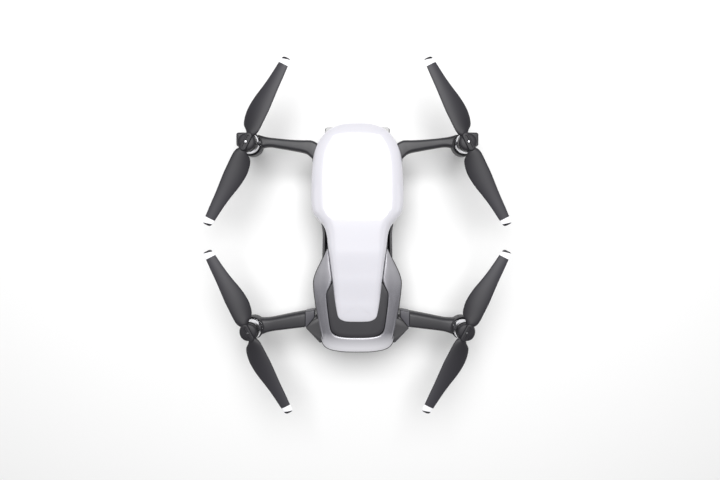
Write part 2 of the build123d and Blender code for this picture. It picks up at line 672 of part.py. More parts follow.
# ---------------------------------------------------------------- gimbal camera
def damper_plate():
    """Plate in the roof of the bay that the gimbal hangs from."""
    x, y, _ = GIMBAL
    plate = block((-11, y - 7, 40.6), (11, y + 11, 41.6))
    return plate + disc(3.5, (x, y), 38.7, 40.6) - disc(YAW_SHAFT_R + RUN, (x, y), 36, 42)


def dampers():
    """Rubber dampers between the plate and the bay's roof."""
    y = GIMBAL[1]
    posts = [disc(1.6, (x, yy), 41.6, BAY_TOP_Z - 1.5) for x in (-8.5, 8.5) for yy in (y - 4, y + 8)]
    return Compound(children=[p.solids()[0] for p in posts])


def gimbal_yaw_arm():
    """Yaw arm: cap on the yaw shaft, drop arm behind the camera, roll motor."""
    x, y, z = GIMBAL
    cap = disc(3.5, (x, y), 37.0, 38.5) + disc(YAW_SHAFT_R, (x, y), 38.0, 41.4)
    reach = block((-3, y, 37.0), (3, y + 12.2, 38.5)) + block((-3, y + 10.6, z), (3, y + 12.2, 38.5))
    motor = rod(4.6, (x, y + 8.9, z), (x, y + 12.2, z))
    return cap + reach + motor - rod(GIMBAL_SHAFT_R + RUN, (x, y, z), (x, y + 13, z))


def gimbal_roll_arm():
    """Roll arm: from the roll shaft round the camera's left side to the tilt motor."""
    x, y, z = GIMBAL
    back = block((-2, y + 7.4, z - 2.5), (12.4, y + 8.7, z + 2.5))
    side = block((11.0, y - 3.0, z - 2.5), (12.4, y + 8.7, z + 2.5))
    motor = rod(3.8, (9.6, y, z), (12.4, y, z))
    shaft = rod(GIMBAL_SHAFT_R, (x, y + 7.6, z), (x, y + 12.0, z))
    return back + side + motor + shaft - rod(GIMBAL_SHAFT_R + RUN, (5, y, z), (20, y, z))


def camera_body():
    """Camera housing with its tilt shaft and lens barrel."""
    x, y, z = GIMBAL
    box = fillet(block((-8.2, y - 6.2, z - 5.2), (8.2, y + 5.0, z + 4.6)).edges(), 1.6)
    barrel = rod(LENS_R + 1.0, (x, y - 7.8, z - 0.6), (x, y, z - 0.6))
    shaft = rod(GIMBAL_SHAFT_R, (7.0, y, z), (12.2, y, z))
    return box + barrel + shaft - rod(LENS_R, (x, y - 9, z - 0.6), (x, y - 4.0, z - 0.6))


def camera_lens():
    """Lens stack inside the barrel."""
    x, y, z = GIMBAL
    return rod(LENS_R, (x, y - 7.2, z - 0.6), (x, y - 4.0, z - 0.6))


def status_light():
    """Status lamp in the tail."""
    lamp = block((-5, 81, 42.0), (5, 91, 44.4)) & slab(grown(LOWER_OUTLINE, 0.7), 40, 46)
    return largest(lamp - slab(grown(LOWER_OUTLINE, 0.05), 30, 50))


def main():
    """Builds and writes every sub-part."""
    os.makedirs("parts", exist_ok=True)
    central = {
        "top_shell": top_shell, "lower_shell": lower_shell, "tail_trim": tail_trim, "tail_deck": tail_deck,
        "nose_frame": nose_frame, "hinge_frame": hinge_frame, "hinge_brace": hinge_brace,
        "sensor_windows": sensor_windows, "status_light": status_light, "body_screws": body_screws,
        "front_hinge_pins": front_hinge_pins, "rear_hinge_pins": rear_hinge_pins,
        "rear_hinge_housings": rear_hinge_housings, "main_board": main_board, "heat_sink": heat_sink,
        "fan_housing": fan_housing, "fan_rotor": fan_rotor, "satellite_receiver": satellite_receiver,
        "battery_case": battery_case, "battery_cells": battery_cells, "power_button": power_button,
        "charge_lights": charge_lights, "gimbal_damper_plate": damper_plate, "gimbal_dampers": dampers,
        "gimbal_yaw_arm": gimbal_yaw_arm, "gimbal_roll_arm": gimbal_roll_arm, "camera_body": camera_body,
        "camera_lens": camera_lens,
    }
    for name, make in central.items():
        save(name, make())
    save("rear_feet", both(rear_foot()))
    save("rear_foot_pads", both(rear_foot_pad()))
    pairs = {
        "port_cover": port_cover, "battery_latch": battery_latch, "front_arm": front_arm,
        "rear_arm": rear_arm, "front_leg": front_leg, "leg_pad": leg_pad, "leg_pin": leg_pin,
    }
    for name, make in pairs.items():
        left = make()
        save(f"{name}_left", left)
        save(f"{name}_right", mirror(left, about=Plane.YZ))
    rotor = {"motor_bell": bell(-MOTOR_Y), "motor_stator": stator(-MOTOR_Y),
             "prop_mount": prop_mount(), "propeller": propeller()}
    for name, left in rotor.items():
        for end, shape in (("front", left), ("rear", mirror(left, about=Plane.XZ))):
            save(f"{name}_{end}_left", shape)
            save(f"{name}_{end}_right", mirror(shape, about=Plane.YZ))


main()
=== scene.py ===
"""Folding camera quadcopter: detailed covers, arms, motors, propellers, finishes and studio."""

from dataclasses import dataclass
from enum import Enum
from math import atan2, cos, hypot, pi, radians, sin, sqrt
from typing import ClassVar, Iterable, Optional, Sequence, Union
import json
import logging

import bmesh
import bpy
from mathutils import Matrix, Vector


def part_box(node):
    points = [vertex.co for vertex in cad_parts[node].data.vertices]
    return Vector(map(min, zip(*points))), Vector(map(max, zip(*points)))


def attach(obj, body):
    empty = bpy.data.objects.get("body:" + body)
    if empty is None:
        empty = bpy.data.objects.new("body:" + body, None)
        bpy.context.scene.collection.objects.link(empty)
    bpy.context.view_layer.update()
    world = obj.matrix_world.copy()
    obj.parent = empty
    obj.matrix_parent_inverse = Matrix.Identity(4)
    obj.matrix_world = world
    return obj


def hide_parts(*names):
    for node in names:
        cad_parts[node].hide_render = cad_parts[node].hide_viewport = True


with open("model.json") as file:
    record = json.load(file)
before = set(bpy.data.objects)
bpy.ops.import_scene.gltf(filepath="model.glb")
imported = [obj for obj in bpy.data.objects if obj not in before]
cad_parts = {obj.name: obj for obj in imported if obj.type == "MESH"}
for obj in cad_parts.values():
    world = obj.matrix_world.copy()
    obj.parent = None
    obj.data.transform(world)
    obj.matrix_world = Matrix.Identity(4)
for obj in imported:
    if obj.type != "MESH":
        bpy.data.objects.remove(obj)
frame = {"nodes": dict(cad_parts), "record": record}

log = logging.getLogger("quadcopter")
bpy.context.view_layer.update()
MM = 0.001
HARD_EDGE = 30.0         # degrees; sharper edges of a kept frame shape are rounded
Point2 = tuple[float, float]
Point3 = tuple[float, float, float]
Row = tuple[float, ...]
Socket = bpy.types.NodeSocket
Vertex = bmesh.types.BMVert


class Sign(Enum):
    """One of two opposite directions, as a sign."""

    @property
    def word(self) -> str:
        """The direction's name as the frame's nodes use it."""
        return self.name.lower()


class Side(Sign):
    """Side of the craft, as a sign on X."""

    LEFT = 1
    RIGHT = -1


class End(Sign):
    """End of the craft, as a sign on Y: the nose faces -Y."""

    FRONT = -1
    REAR = 1


# ---------------------------------------------------------------- shading
def linear(colour: str) -> tuple[float, float, float, float]:
    """Turns an sRGB hex colour into linear RGBA.

    Args:
        colour: six hex digits after a hash.

    Returns:
        Linear red, green, blue and an alpha of one.
    """
    values = [int(colour[i:i + 2], 16) / 255 for i in (1, 3, 5)]
    low = [v / 12.92 if v <= 0.04045 else ((v + 0.055) / 1.055) ** 2.4 for v in values]
    return (low[0], low[1], low[2], 1.0)


class Shading:
    """A material while its nodes are being made; sizes are in millimetres."""

    def __init__(self, name: str, colour: str, settings: dict) -> None:
        """Starts a material that holds one surface shader.

        Args:
            name: the material's name.
            colour: its main colour, as sRGB hex.
            settings: constant values of the surface shader's sockets.
        """
        self.material = bpy.data.materials.new(name)
        self.material.use_nodes = True
        self.material.diffuse_color = linear(colour)
        self.shader = self.material.node_tree.nodes["Principled BSDF"]
        for key, value in {"Base Color": linear(colour), **settings}.items():
            self.shader.inputs[key].default_value = value
        self.place = self.add("ShaderNodeTexCoord").outputs

    def add(self, kind: str, settings: Optional[dict] = None,
            links: Optional[dict] = None) -> bpy.types.Node:
        """Adds one shader node with its settings and incoming links.

        Args:
            kind: the node's type name.
            settings: socket names or indices with values, and attributes of the node.
            links: input socket names or indices with the output sockets that feed them.

        Returns:
            The new node.
        """
        node = self.material.node_tree.nodes.new(kind)
        for key, value in (settings or {}).items():
            if isinstance(key, str) and hasattr(node, key) and key not in node.inputs:
                setattr(node, key, value)
            else:
                node.inputs[key].default_value = value
        for key, output in (links or {}).items():
            self.material.node_tree.links.new(output, node.inputs[key])
        return node

    def feed(self, socket: str, output: Socket) -> None:
        """Links an output to a socket of the surface shader."""
        self.material.node_tree.links.new(output, self.shader.inputs[socket])

    def texture(self, kind: str, size_mm: float,
                settings: Optional[dict] = None) -> Sequence[Socket]:
        """Adds a texture in the object's own coordinates.

        Args:
            kind: Noise, Voronoi, Wave or Brick.
            size_mm: its size, as one over its scale.
            settings: its other values.

        Returns:
            The texture's outputs.
        """
        return self.add(f"ShaderNodeTex{kind}", {"Scale": 1 / (size_mm * MM), **(settings or {})},
                        {"Vector": self.place["Object"]}).outputs

    def noise(self, size_mm: float, detail: float) -> Socket:
        """Noise of the given size and detail."""
        return self.texture("Noise", size_mm, {"Detail": detail})["Fac"]

    def spread(self, source: Socket, low: float, high: float, start: float = 0.0,
               end: float = 1.0) -> Socket:
        """Maps the stretch of a value from start to end onto low to high."""
        return self.add("ShaderNodeMapRange", {1: start, 2: end, 3: low, 4: high},
                        {0: source}).outputs[0]

    def beyond(self, source: Socket, edge_mm: float) -> Socket:
        """One where a length passes an edge, and nought elsewhere."""
        return self.add("ShaderNodeMath", {"operation": "GREATER_THAN", 1: edge_mm * MM},
                        {0: source}).outputs[0]

    def mix(self, share: Socket, first: Union[str, Socket], second: str) -> Socket:
        """Mixes two colours.

        Args:
            share: how much of the second colour shows.
            first: a colour, or the output that makes it.
            second: the other colour.

        Returns:
            The mixed colour.
        """
        settings: dict = {"data_type": "RGBA", 7: linear(second)}
        links = {0: share}
        if isinstance(first, str):
            settings[6] = linear(first)
        else:
            links[6] = first
        return self.add("ShaderNodeMix", settings, links).outputs[2]

    def bump(self, height: Socket, strength: float, depth_mm: float,
             socket: str = "Normal") -> None:
        """Feeds a bump of the given strength and depth to a normal socket."""
        node = self.add("ShaderNodeBump", {"Strength": strength, "Distance": depth_mm * MM},
                        {"Height": height})
        self.feed(socket, node.outputs[0])


# ---------------------------------------------------------------- finishes
@dataclass(frozen=True)
class Finish:
    """A material and the process that made its surface."""

    name: str
    colour: str

    def make(self) -> bpy.types.Material:
        """Builds the material."""
        raise NotImplementedError


@dataclass(frozen=True)
class MouldedPlastic(Finish):
    """Injection-moulded plastic with a spark-eroded texture: fine bumps, soft sheen, mottling."""

    second: str
    roughness: float = 0.45
    grain_mm: float = 0.55
    depth_mm: float = 0.03
    coat: float = 0.0

    def make(self) -> bpy.types.Material:
        """Builds the material."""
        look = Shading(self.name, self.colour, {
            "IOR": 1.5, "Coat Weight": self.coat, "Coat Roughness": 0.12,
            "Roughness": self.roughness})
        # coarser than the real texture of about 0.1 mm, so that it shows at arm's length
        grain = look.noise(self.grain_mm, 3.0)
        look.feed("Base Color", look.mix(look.noise(18.0, 2.0), self.colour, self.second))
        look.feed("Roughness", look.spread(grain, self.roughness - 0.05, self.roughness + 0.07))
        look.bump(grain, 0.35, self.depth_mm)
        return look.material


@dataclass(frozen=True)
class LacqueredShell(Finish):
    """Gloss lacquer over white ABS: a clear coat with a very gentle orange peel."""

    shade: str

    def make(self) -> bpy.types.Material:
        """Builds the material."""
        look = Shading(self.name, self.colour, {
            "Roughness": 0.32, "IOR": 1.49, "Coat Weight": 0.85, "Coat Roughness": 0.07,
            "Coat IOR": 1.5, "Subsurface Weight": 0.06,
            "Subsurface Radius": (1.2 * MM, 1.0 * MM, 0.9 * MM), "Subsurface Scale": 1.0})
        look.feed("Base Color", look.mix(look.noise(45.0, 1.0), self.colour, self.shade))
        look.bump(look.noise(1.4, 1.0), 0.05, 0.02, "Coat Normal")
        return look.material


@dataclass(frozen=True)
class MetallicPaint(Finish):
    """Sprayed paint with aluminium flakes under a satin coat; painted highlights make it lighter
    along Y where its slopes face the light.
    """

    flake: str
    metal: float = 0.55
    roughness: float = 0.34
    # painted highlights: places along Y, in millimetres, between which the colour blends to a
    # lighter one, and that lighter colour
    slopes: tuple[tuple[float, float, str], ...] = ()

    def make(self) -> bpy.types.Material:
        """Builds the material."""
        look = Shading(self.name, self.colour, {
            "Metallic": self.metal, "Roughness": self.roughness, "Coat Weight": 0.35,
            "Coat Roughness": 0.15})
        flakes = look.texture("Voronoi", 0.35)
        shade = look.mix(look.spread(flakes["Color"], 0.0, 0.5), self.colour, self.flake)
        along = look.add("ShaderNodeSeparateXYZ", {}, {0: look.place["Object"]}).outputs[1]
        # painted highlights: a lighter colour blended in along Y, standing in for the slopes that
        # catch the light
        for dark, light, highlight_colour in self.slopes:
            shade = look.mix(look.spread(along, 0.0, 1.0, dark * MM, light * MM), shade, highlight_colour)
        look.feed("Base Color", shade)
        look.bump(flakes["Distance"], 0.12, 0.02)
        return look.material


@dataclass(frozen=True)
class TurnedMetal(Finish):
    """Lathe-turned or ground metal: fine rings along the turning axis and a bright edge."""

    roughness: float = 0.16
    pitch_mm: float = 0.35
    wave_share: ClassVar[float] = 0.314     # repeat of a wave texture whose scale is one

    def make(self) -> bpy.types.Material:
        """Builds the material."""
        look = Shading(self.name, self.colour, {"Metallic": 1.0, "Roughness": self.roughness})
        rings = look.texture("Wave", self.pitch_mm / self.wave_share, {
            "wave_type": "BANDS", "bands_direction": "Z", "Distortion": 0.4, "Detail": 1.0})
        look.feed("Roughness", look.spread(look.noise(2.5, 4.0), self.roughness * 0.7,
                                           self.roughness * 1.5))
        look.bump(rings["Fac"], 0.15, 0.02)
        return look.material


@dataclass(frozen=True)
class PaintedBlade(Finish):
    """Glass-filled nylon blade with a sprayed white tip and a painted sheen that lightens it
    towards the tip; the UV map holds its length and width.
    """

    outer: str
    tip: str
    tip_from_mm: float
    end_from_mm: float
    end_slant: float

    def make(self) -> bpy.types.Material:
        """Builds the material."""
        look = Shading(self.name, self.colour, {
            "Roughness": 0.5, "IOR": 1.5, "Specular IOR Level": 0.32})
        where = look.add("ShaderNodeSeparateXYZ", {}, {0: look.place["UV"]}).outputs
        # painted sheen: the dark blade colour blends to a lighter one from 8 mm to 60 mm out,
        # standing in for the softbox's reflection
        body = look.mix(look.spread(where[0], 0.0, 1.0, 8 * MM, 60 * MM), self.colour, self.outer)
        paint = look.mix(look.beyond(where[0], self.tip_from_mm), body, self.tip)
        slant = look.add("ShaderNodeMath", {"operation": "MULTIPLY_ADD", 1: self.end_slant},
                         {0: where[1], 2: where[0]}).outputs[0]
        look.feed("Base Color", look.mix(look.beyond(slant, self.end_from_mm), paint, self.colour))
        look.bump(look.noise(0.6, 3.0), 0.2, 0.02)
        return look.material


@dataclass(frozen=True)
class DarkGlass(Finish):
    """Polished tinted window or coated lens: nearly black, sharp reflections."""

    roughness: float = 0.05
    film: str = "#0c0d10"

    def make(self) -> bpy.types.Material:
        """Builds the material."""
        look = Shading(self.name, self.colour, {
            "Roughness": self.roughness, "IOR": 1.52, "Coat Weight": 1.0, "Coat Roughness": 0.02})
        look.feed("Base Color", look.mix(look.noise(4.0, 2.0), self.colour, self.film))
        return look.material


@dataclass(frozen=True)
class CastMetal(Finish):
    """Die-cast or extruded metal, bead-blasted: coarse soft bumps and a dull gleam."""

    roughness: float = 0.42
    grain_mm: float = 0.8

    def make(self) -> bpy.types.Material:
        """Builds the material."""
        look = Shading(self.name, self.colour, {"Metallic": 0.9, "Roughness": self.roughness})
        blast = look.texture("Voronoi", self.grain_mm)["Distance"]
        look.feed("Roughness", look.spread(blast, self.roughness - 0.1, self.roughness + 0.12))
        look.bump(blast, 0.3, 0.04)
        return look.material


@dataclass(frozen=True)
class CircuitMask(Finish):
    """Green solder mask over copper: blocks and lanes that stand a little proud."""

    copper: str

    def make(self) -> bpy.types.Material:
        """Builds the material."""
        look = Shading(self.name, self.colour, {"Roughness": 0.3, "Coat Weight": 0.4})
        lanes = look.texture("Brick", 6.0, {
            "Mortar Size": 0.03, "Color1": linear(self.colour), "Color2": linear(self.copper),
            "Mortar": linear(self.copper)})
        look.feed("Base Color", lanes["Color"])
        look.bump(lanes["Fac"], 0.3, 0.03)
        return look.material


class Finishes:
    """Every finish on the craft, made once and looked up by name."""

    def __init__(self) -> None:
        """Builds all materials."""
        recipes = [
            LacqueredShell("lacquered_white_abs", "#cbcad1", "#d1d0d6"),
            MouldedPlastic("moulded_dark_polycarbonate", "#2a292c", "#302f32", 0.5, 0.6),
            MouldedPlastic("satin_deck_polycarbonate", "#2c2b2f", "#313034", 0.42, 0.5, 0.02),
            MouldedPlastic("satin_painted_arm", "#232226", "#28272b", 0.46, 0.5, 0.02),
            # painted highlight: lighter than the arm plastic, for the lit facet at the rear arms'
            # roots
            MouldedPlastic("hinge_plastic", "#3e3d43", "#45444a", 0.42, 0.5, 0.02),
            MouldedPlastic("battery_polycarbonate", "#3a393d", "#414045", 0.52, 0.8, 0.05),
            MouldedPlastic("moulded_rubber", "#161617", "#1e1e1f", 0.75, 0.7, 0.06),
            MouldedPlastic("fan_plastic", "#19191b", "#202023", 0.45, 0.6),
            MouldedPlastic("moulded_lock", "#111113", "#18181a", 0.22, 0.7, 0.01, 0.6),
            MouldedPlastic("fired_ceramic", "#c6b89a", "#cfc2a6", 0.6, 1.2),
            MouldedPlastic("lamp_plastic", "#dfe6de", "#eef3ec", 0.25, 1.5, 0.01, 0.3),
            MouldedPlastic("button_plastic", "#4c4b50", "#545358", 0.34, 0.6, 0.02),
            # painted highlights on the trim: lighter grey towards its front tips, near-white at its
            # back
            MetallicPaint("metallic_grey_paint", "#747378", "#93929a", 0.35, 0.4,
                          ((41.0, 24.0, "#9c9ba0"), (73.0, 86.5, "#f0eff4"))),
            MetallicPaint("camera_satin_paint", "#2b2b2e", "#3c3c40", 0.3, 0.42),
            MetallicPaint("pouch_foil", "#8f9194", "#b8babd", 0.8, 0.35),
            TurnedMetal("polished_bell_aluminium", "#dcdce0", 0.11),
            TurnedMetal("ground_pin_steel", "#a8a8ac", 0.2),
            TurnedMetal("black_oxide_steel", "#2a2a2c", 0.3),
            TurnedMetal("enamelled_copper", "#b5652c", 0.3, 0.5),
            CastMetal("die_cast_magnesium", "#6f6f74"),
            CastMetal("extruded_aluminium", "#b9b9bd", 0.36, 1.2),
            CastMetal("anodised_gimbal", "#4a4a4e", 0.38, 0.9),
            DarkGlass("tinted_window", "#050506"),
            DarkGlass("coated_lens", "#0a0d16", 0.03, "#1c2b52"),
            CircuitMask("solder_mask", "#0e3a22", "#2b6a3f"),
            # the blade's second colour is a painted sheen towards the tip; the third is the white
            # tip paint
            PaintedBlade("glass_filled_nylon_blade", "#252428", "#38373c", "#eeeef1",
                         61.9, 66.1, 0.25),
        ]
        self.by_name = {recipe.name: recipe.make() for recipe in recipes}

    def __getitem__(self, name: str) -> bpy.types.Material:
        """The material of that name."""
        return self.by_name[name]


# ---------------------------------------------------------------- mesh helpers
def link_object(name: str, data: bpy.types.ID) -> bpy.types.Object:
    """Puts a mesh, a lamp or a camera in the scene as an object."""
    obj = bpy.data.objects.new(name, data)
    bpy.context.collection.objects.link(obj)
    return obj


def arc(centre: Point2, radius: float, start: float, sweep: float, steps: int) -> list[Point2]:
    """Points along an arc; angles are in degrees."""
    turns = (radians(start + sweep * s / steps) for s in range(steps + 1))
    return [(centre[0] + radius * cos(a), centre[1] + radius * sin(a)) for a in turns]


def smooth_loop(points: Sequence[Point2], steps: int, closed: bool = True) -> list[Point2]:
    """Rounds a list of points into a smooth curve through all of them.

    Args:
        points: corners of the curve.
        steps: samples between two neighbouring corners.
        closed: whether the last point joins the first.

    Returns:
        The sampled points.
    """
    count = len(points)
    result = []
    for i in range(count if closed else count - 1):
        near = [(i + k) % count if closed else min(max(i + k, 0), count - 1) for k in (-1, 0, 1, 2)]
        a, b, c, d = (points[k] for k in near)
        for t in (s / steps for s in range(steps)):
            result.append(tuple(
                0.5 * (2 * q + (r - p) * t + (2 * p - 5 * q + 4 * r - s) * t * t
                       + (3 * q - p - 3 * r + s) * t ** 3) for p, q, r, s in zip(a, b, c, d)))
    if not closed:
        result.append(tuple(points[-1]))
    return result


def mirrored_loop(half: Sequence[Point2], steps: int) -> list[Point2]:
    """Smooth closed outline from the points of its +X half, nose to tail.

    Args:
        half: points with positive x.
        steps: samples between neighbouring points.

    Returns:
        The closed outline, anticlockwise seen from above.
    """
    return smooth_loop(list(half) + [(-x, y) for x, y in reversed(half)], steps)


def inset(loop: Sequence[Point2], distance: float) -> list[Point2]:
    """Moves every point of a closed anticlockwise outline inwards by a distance."""
    count = len(loop)
    result = []
    for i, (x, y) in enumerate(loop):
        ax, ay = loop[i - 1]
        bx, by = loop[(i + 1) % count]
        size = hypot(bx - ax, by - ay) or 1.0
        result.append((x - distance * (by - ay) / size, y + distance * (bx - ax) / size))
    return result


def blend_value(low: float, high: float, t: float) -> float:
    """Smooth step from low to high as t goes from 0 to 1."""
    t = min(max(t, 0.0), 1.0)
    return low + (high - low) * t * t * (3 - 2 * t)


def along_line(line: Sequence[Point2], where: float) -> float:
    """Value of a piecewise smooth line at a place.

    Args:
        line: (place, value) pairs in rising order of place.
        where: the place.

    Returns:
        The value there.
    """
    if where <= line[0][0]:
        return line[0][1]
    for (a, u), (b, v) in zip(line, line[1:]):
        if where <= b:
            t = (where - a) / (b - a)
            return (blend_value(u, v, t) + u + (v - u) * t) / 2
    return line[-1][1]


class Piece:
    """One visible piece while its mesh is being made, in millimetres in the frame's axes."""

    def __init__(self, name: str) -> None:
        """Starts an empty piece.

        Args:
            name: the finished object's name.
        """
        self.name = name
        self.mesh = bmesh.new()
        self.uv: dict[Vertex, Point2] = {}

    def ring(self, points: Iterable[Point3]) -> list[Vertex]:
        """Adds a row of vertices."""
        return [self.mesh.verts.new((x * MM, y * MM, z * MM)) for x, y, z in points]

    def level(self, loop: Sequence[Point2], z: float) -> list[Vertex]:
        """Adds a flat ring of vertices at height z."""
        return self.ring((x, y, z) for x, y in loop)

    def bridge(self, lower: Sequence[Vertex], upper: Sequence[Vertex]) -> None:
        """Joins two rings of equal length with quads."""
        for i in range(len(lower)):
            j = (i + 1) % len(lower)
            corners = [lower[i], lower[j], upper[j], upper[i]]
            if len(set(corners)) == 4:
                self.mesh.faces.new(corners)

    def cap(self, ring: Sequence[Vertex]) -> None:
        """Closes a ring with one face."""
        self.mesh.faces.new(ring)

    def strips(self, rings: Sequence[Sequence[Vertex]]) -> None:
        """Joins rings in order."""
        for a, b in zip(rings, rings[1:]):
            self.bridge(a, b)

    def tube(self, rings: Sequence[Sequence[Vertex]]) -> None:
        """Joins rings in order and closes both ends."""
        self.strips(rings)
        self.cap(list(reversed(rings[0])))
        self.cap(rings[-1])

    def lathe(self, profile: Sequence[Point2], centre: Point3, steps: int = 64,
              axis: str = "Z") -> None:
        """Turns a profile of (radius, height) pairs about an axis; radius 0 closes an end.

        Args:
            profile: the pairs, from one end of the solid to the other.
            centre: a point that the heights are counted from.
            steps: facets round the axis.
            axis: Y or Z.
        """
        rows: list = []
        for radius, height in profile:
            row = []
            for i in range(steps if radius > 0 else 1):
                a = 2 * pi * i / steps
                u, v = radius * cos(a), radius * sin(a)
                shift = (u, v, height) if axis == "Z" else (v, height, u)
                row.append([c + d for c, d in zip(centre, shift)])
            rows.append(self.ring(row))
        for a, b in zip(rows, rows[1:]):
            if len(a) == 1 and len(b) == 1:
                continue
            for i in range(steps):
                j = (i + 1) % steps
                quad = [a[i % len(a)], a[j % len(a)], b[j % len(b)], b[i % len(b)]]
                self.mesh.faces.new(list(dict.fromkeys(quad)))

    def rounded_block(self, low: Point3, high: Point3, radius: float, steps: int = 4) -> None:
        """Adds a box whose upright edges and rims are rounded."""
        x0, y0, z0 = low
        x1, y1, z1 = high
        r = min(radius, (x1 - x0) / 2 - 0.01, (y1 - y0) / 2 - 0.01, (z1 - z0) / 2 - 0.01)
        loop = []
        for cx, cy, start in ((x1 - r, y1 - r, 0), (x0 + r, y1 - r, 90), (x0 + r, y0 + r, 180),
                              (x1 - r, y0 + r, 270)):
            loop += arc((cx, cy), r, start, 90, steps)
        rim = [(round(r - u, 5), round(z0 + r - v, 5)) for u, v in arc((0, 0), r, 90, -90, steps)]
        tops = [(d, z1 - (z - z0)) for d, z in reversed(rim)]
        self.tube([self.level(inset(loop, min(d, r * 0.98)), z) for d, z in rim + tops])

    def finish(self, material: bpy.types.Material, body: str, *replaced: str, sharp: float = 32.0,
               slot: Optional[str] = None) -> bpy.types.Object:
        """Turns the piece into an object that rides on a body.

        Args:
            material: its finish.
            body: the frame's body that it moves with.
            replaced: frame nodes that it stands for.
            sharp: edges sharper than this many degrees stay crisp.
            slot: the record's material slot; not used.

        Returns:
            The object.
        """
        bmesh.ops.remove_doubles(self.mesh, verts=self.mesh.verts, dist=1e-6)
        bmesh.ops.recalc_face_normals(self.mesh, faces=self.mesh.faces)
        if self.uv:
            layer = self.mesh.loops.layers.uv.new("blade")
            for face in self.mesh.faces:
                for loop in face.loops:
                    loop[layer].uv = self.uv.get(loop.vert, (0.0, 0.0))
        obj = self.as_object()
        dress(obj, material, sharp)
        settle(obj, body, replaced)
        return obj

    def as_object(self) -> bpy.types.Object:
        """Turns the piece into an object without a finish or a body."""
        data = bpy.data.meshes.new(self.name)
        self.mesh.to_mesh(data)
        self.mesh.free()
        return link_object(self.name, data)

    def as_template(self) -> bpy.types.Object:
        """Turns the piece into a template for repeated copies."""
        bmesh.ops.recalc_face_normals(self.mesh, faces=self.mesh.faces)
        return self.as_object()


def dress(obj: bpy.types.Object, material: bpy.types.Material, sharp: float = 32.0) -> None:
    """Gives an object its finish and smooth shading with crisp edges."""
    obj.data.materials.clear()
    obj.data.materials.append(material)
    for polygon in obj.data.polygons:
        polygon.use_smooth = True
    obj.data.set_sharp_from_angle(angle=radians(sharp))


def settle(obj: bpy.types.Object, body: str, replaced: Sequence[str] = ()) -> None:
    """Puts a finished object on its body and hides the frame nodes that it stands for."""
    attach(obj, body)
    if replaced:
        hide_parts(*replaced)
    log.info("piece %s rides on %s", obj.name, body)


def body_of_node(node: str) -> str:
    """The body that a frame node belongs to."""
    for body, nodes in frame["record"]["behaviour"]["bodies"].items():
        if node in nodes:
            return body
    raise KeyError(node)


def soften(node: str, material: bpy.types.Material, width_mm: float) -> None:
    """Stands in for a frame node with a merged copy whose hard edges are rounded.

    Args:
        node: the frame node.
        material: its finish.
        width_mm: size of the rounding.
    """
    source = frame["nodes"][node]
    data = source.data.copy()
    work = bmesh.new()
    work.from_mesh(data)
    work.transform(source.matrix_world)
    bmesh.ops.remove_doubles(work, verts=work.verts, dist=2e-6)
    bmesh.ops.dissolve_limit(work, angle_limit=radians(1.0), verts=work.verts, edges=work.edges)
    work.to_mesh(data)
    work.free()
    obj = link_object(f"{node}_finished", data)
    bevel = obj.modifiers.new("edge", "BEVEL")
    bevel.width = width_mm * MM
    bevel.segments = 2
    bevel.limit_method = "ANGLE"
    bevel.angle_limit = radians(HARD_EDGE)
    bake_modifiers(obj)
    dress(obj, material, HARD_EDGE)
    settle(obj, body_of_node(node), (node,))


def bake_modifiers(obj: bpy.types.Object) -> None:
    """Replaces an object's mesh with its evaluated one and drops its modifiers."""
    graph = bpy.context.evaluated_depsgraph_get()
    graph.update()
    data = bpy.data.meshes.new_from_object(obj.evaluated_get(graph), depsgraph=graph)
    obj.modifiers.clear()
    obj.data = data


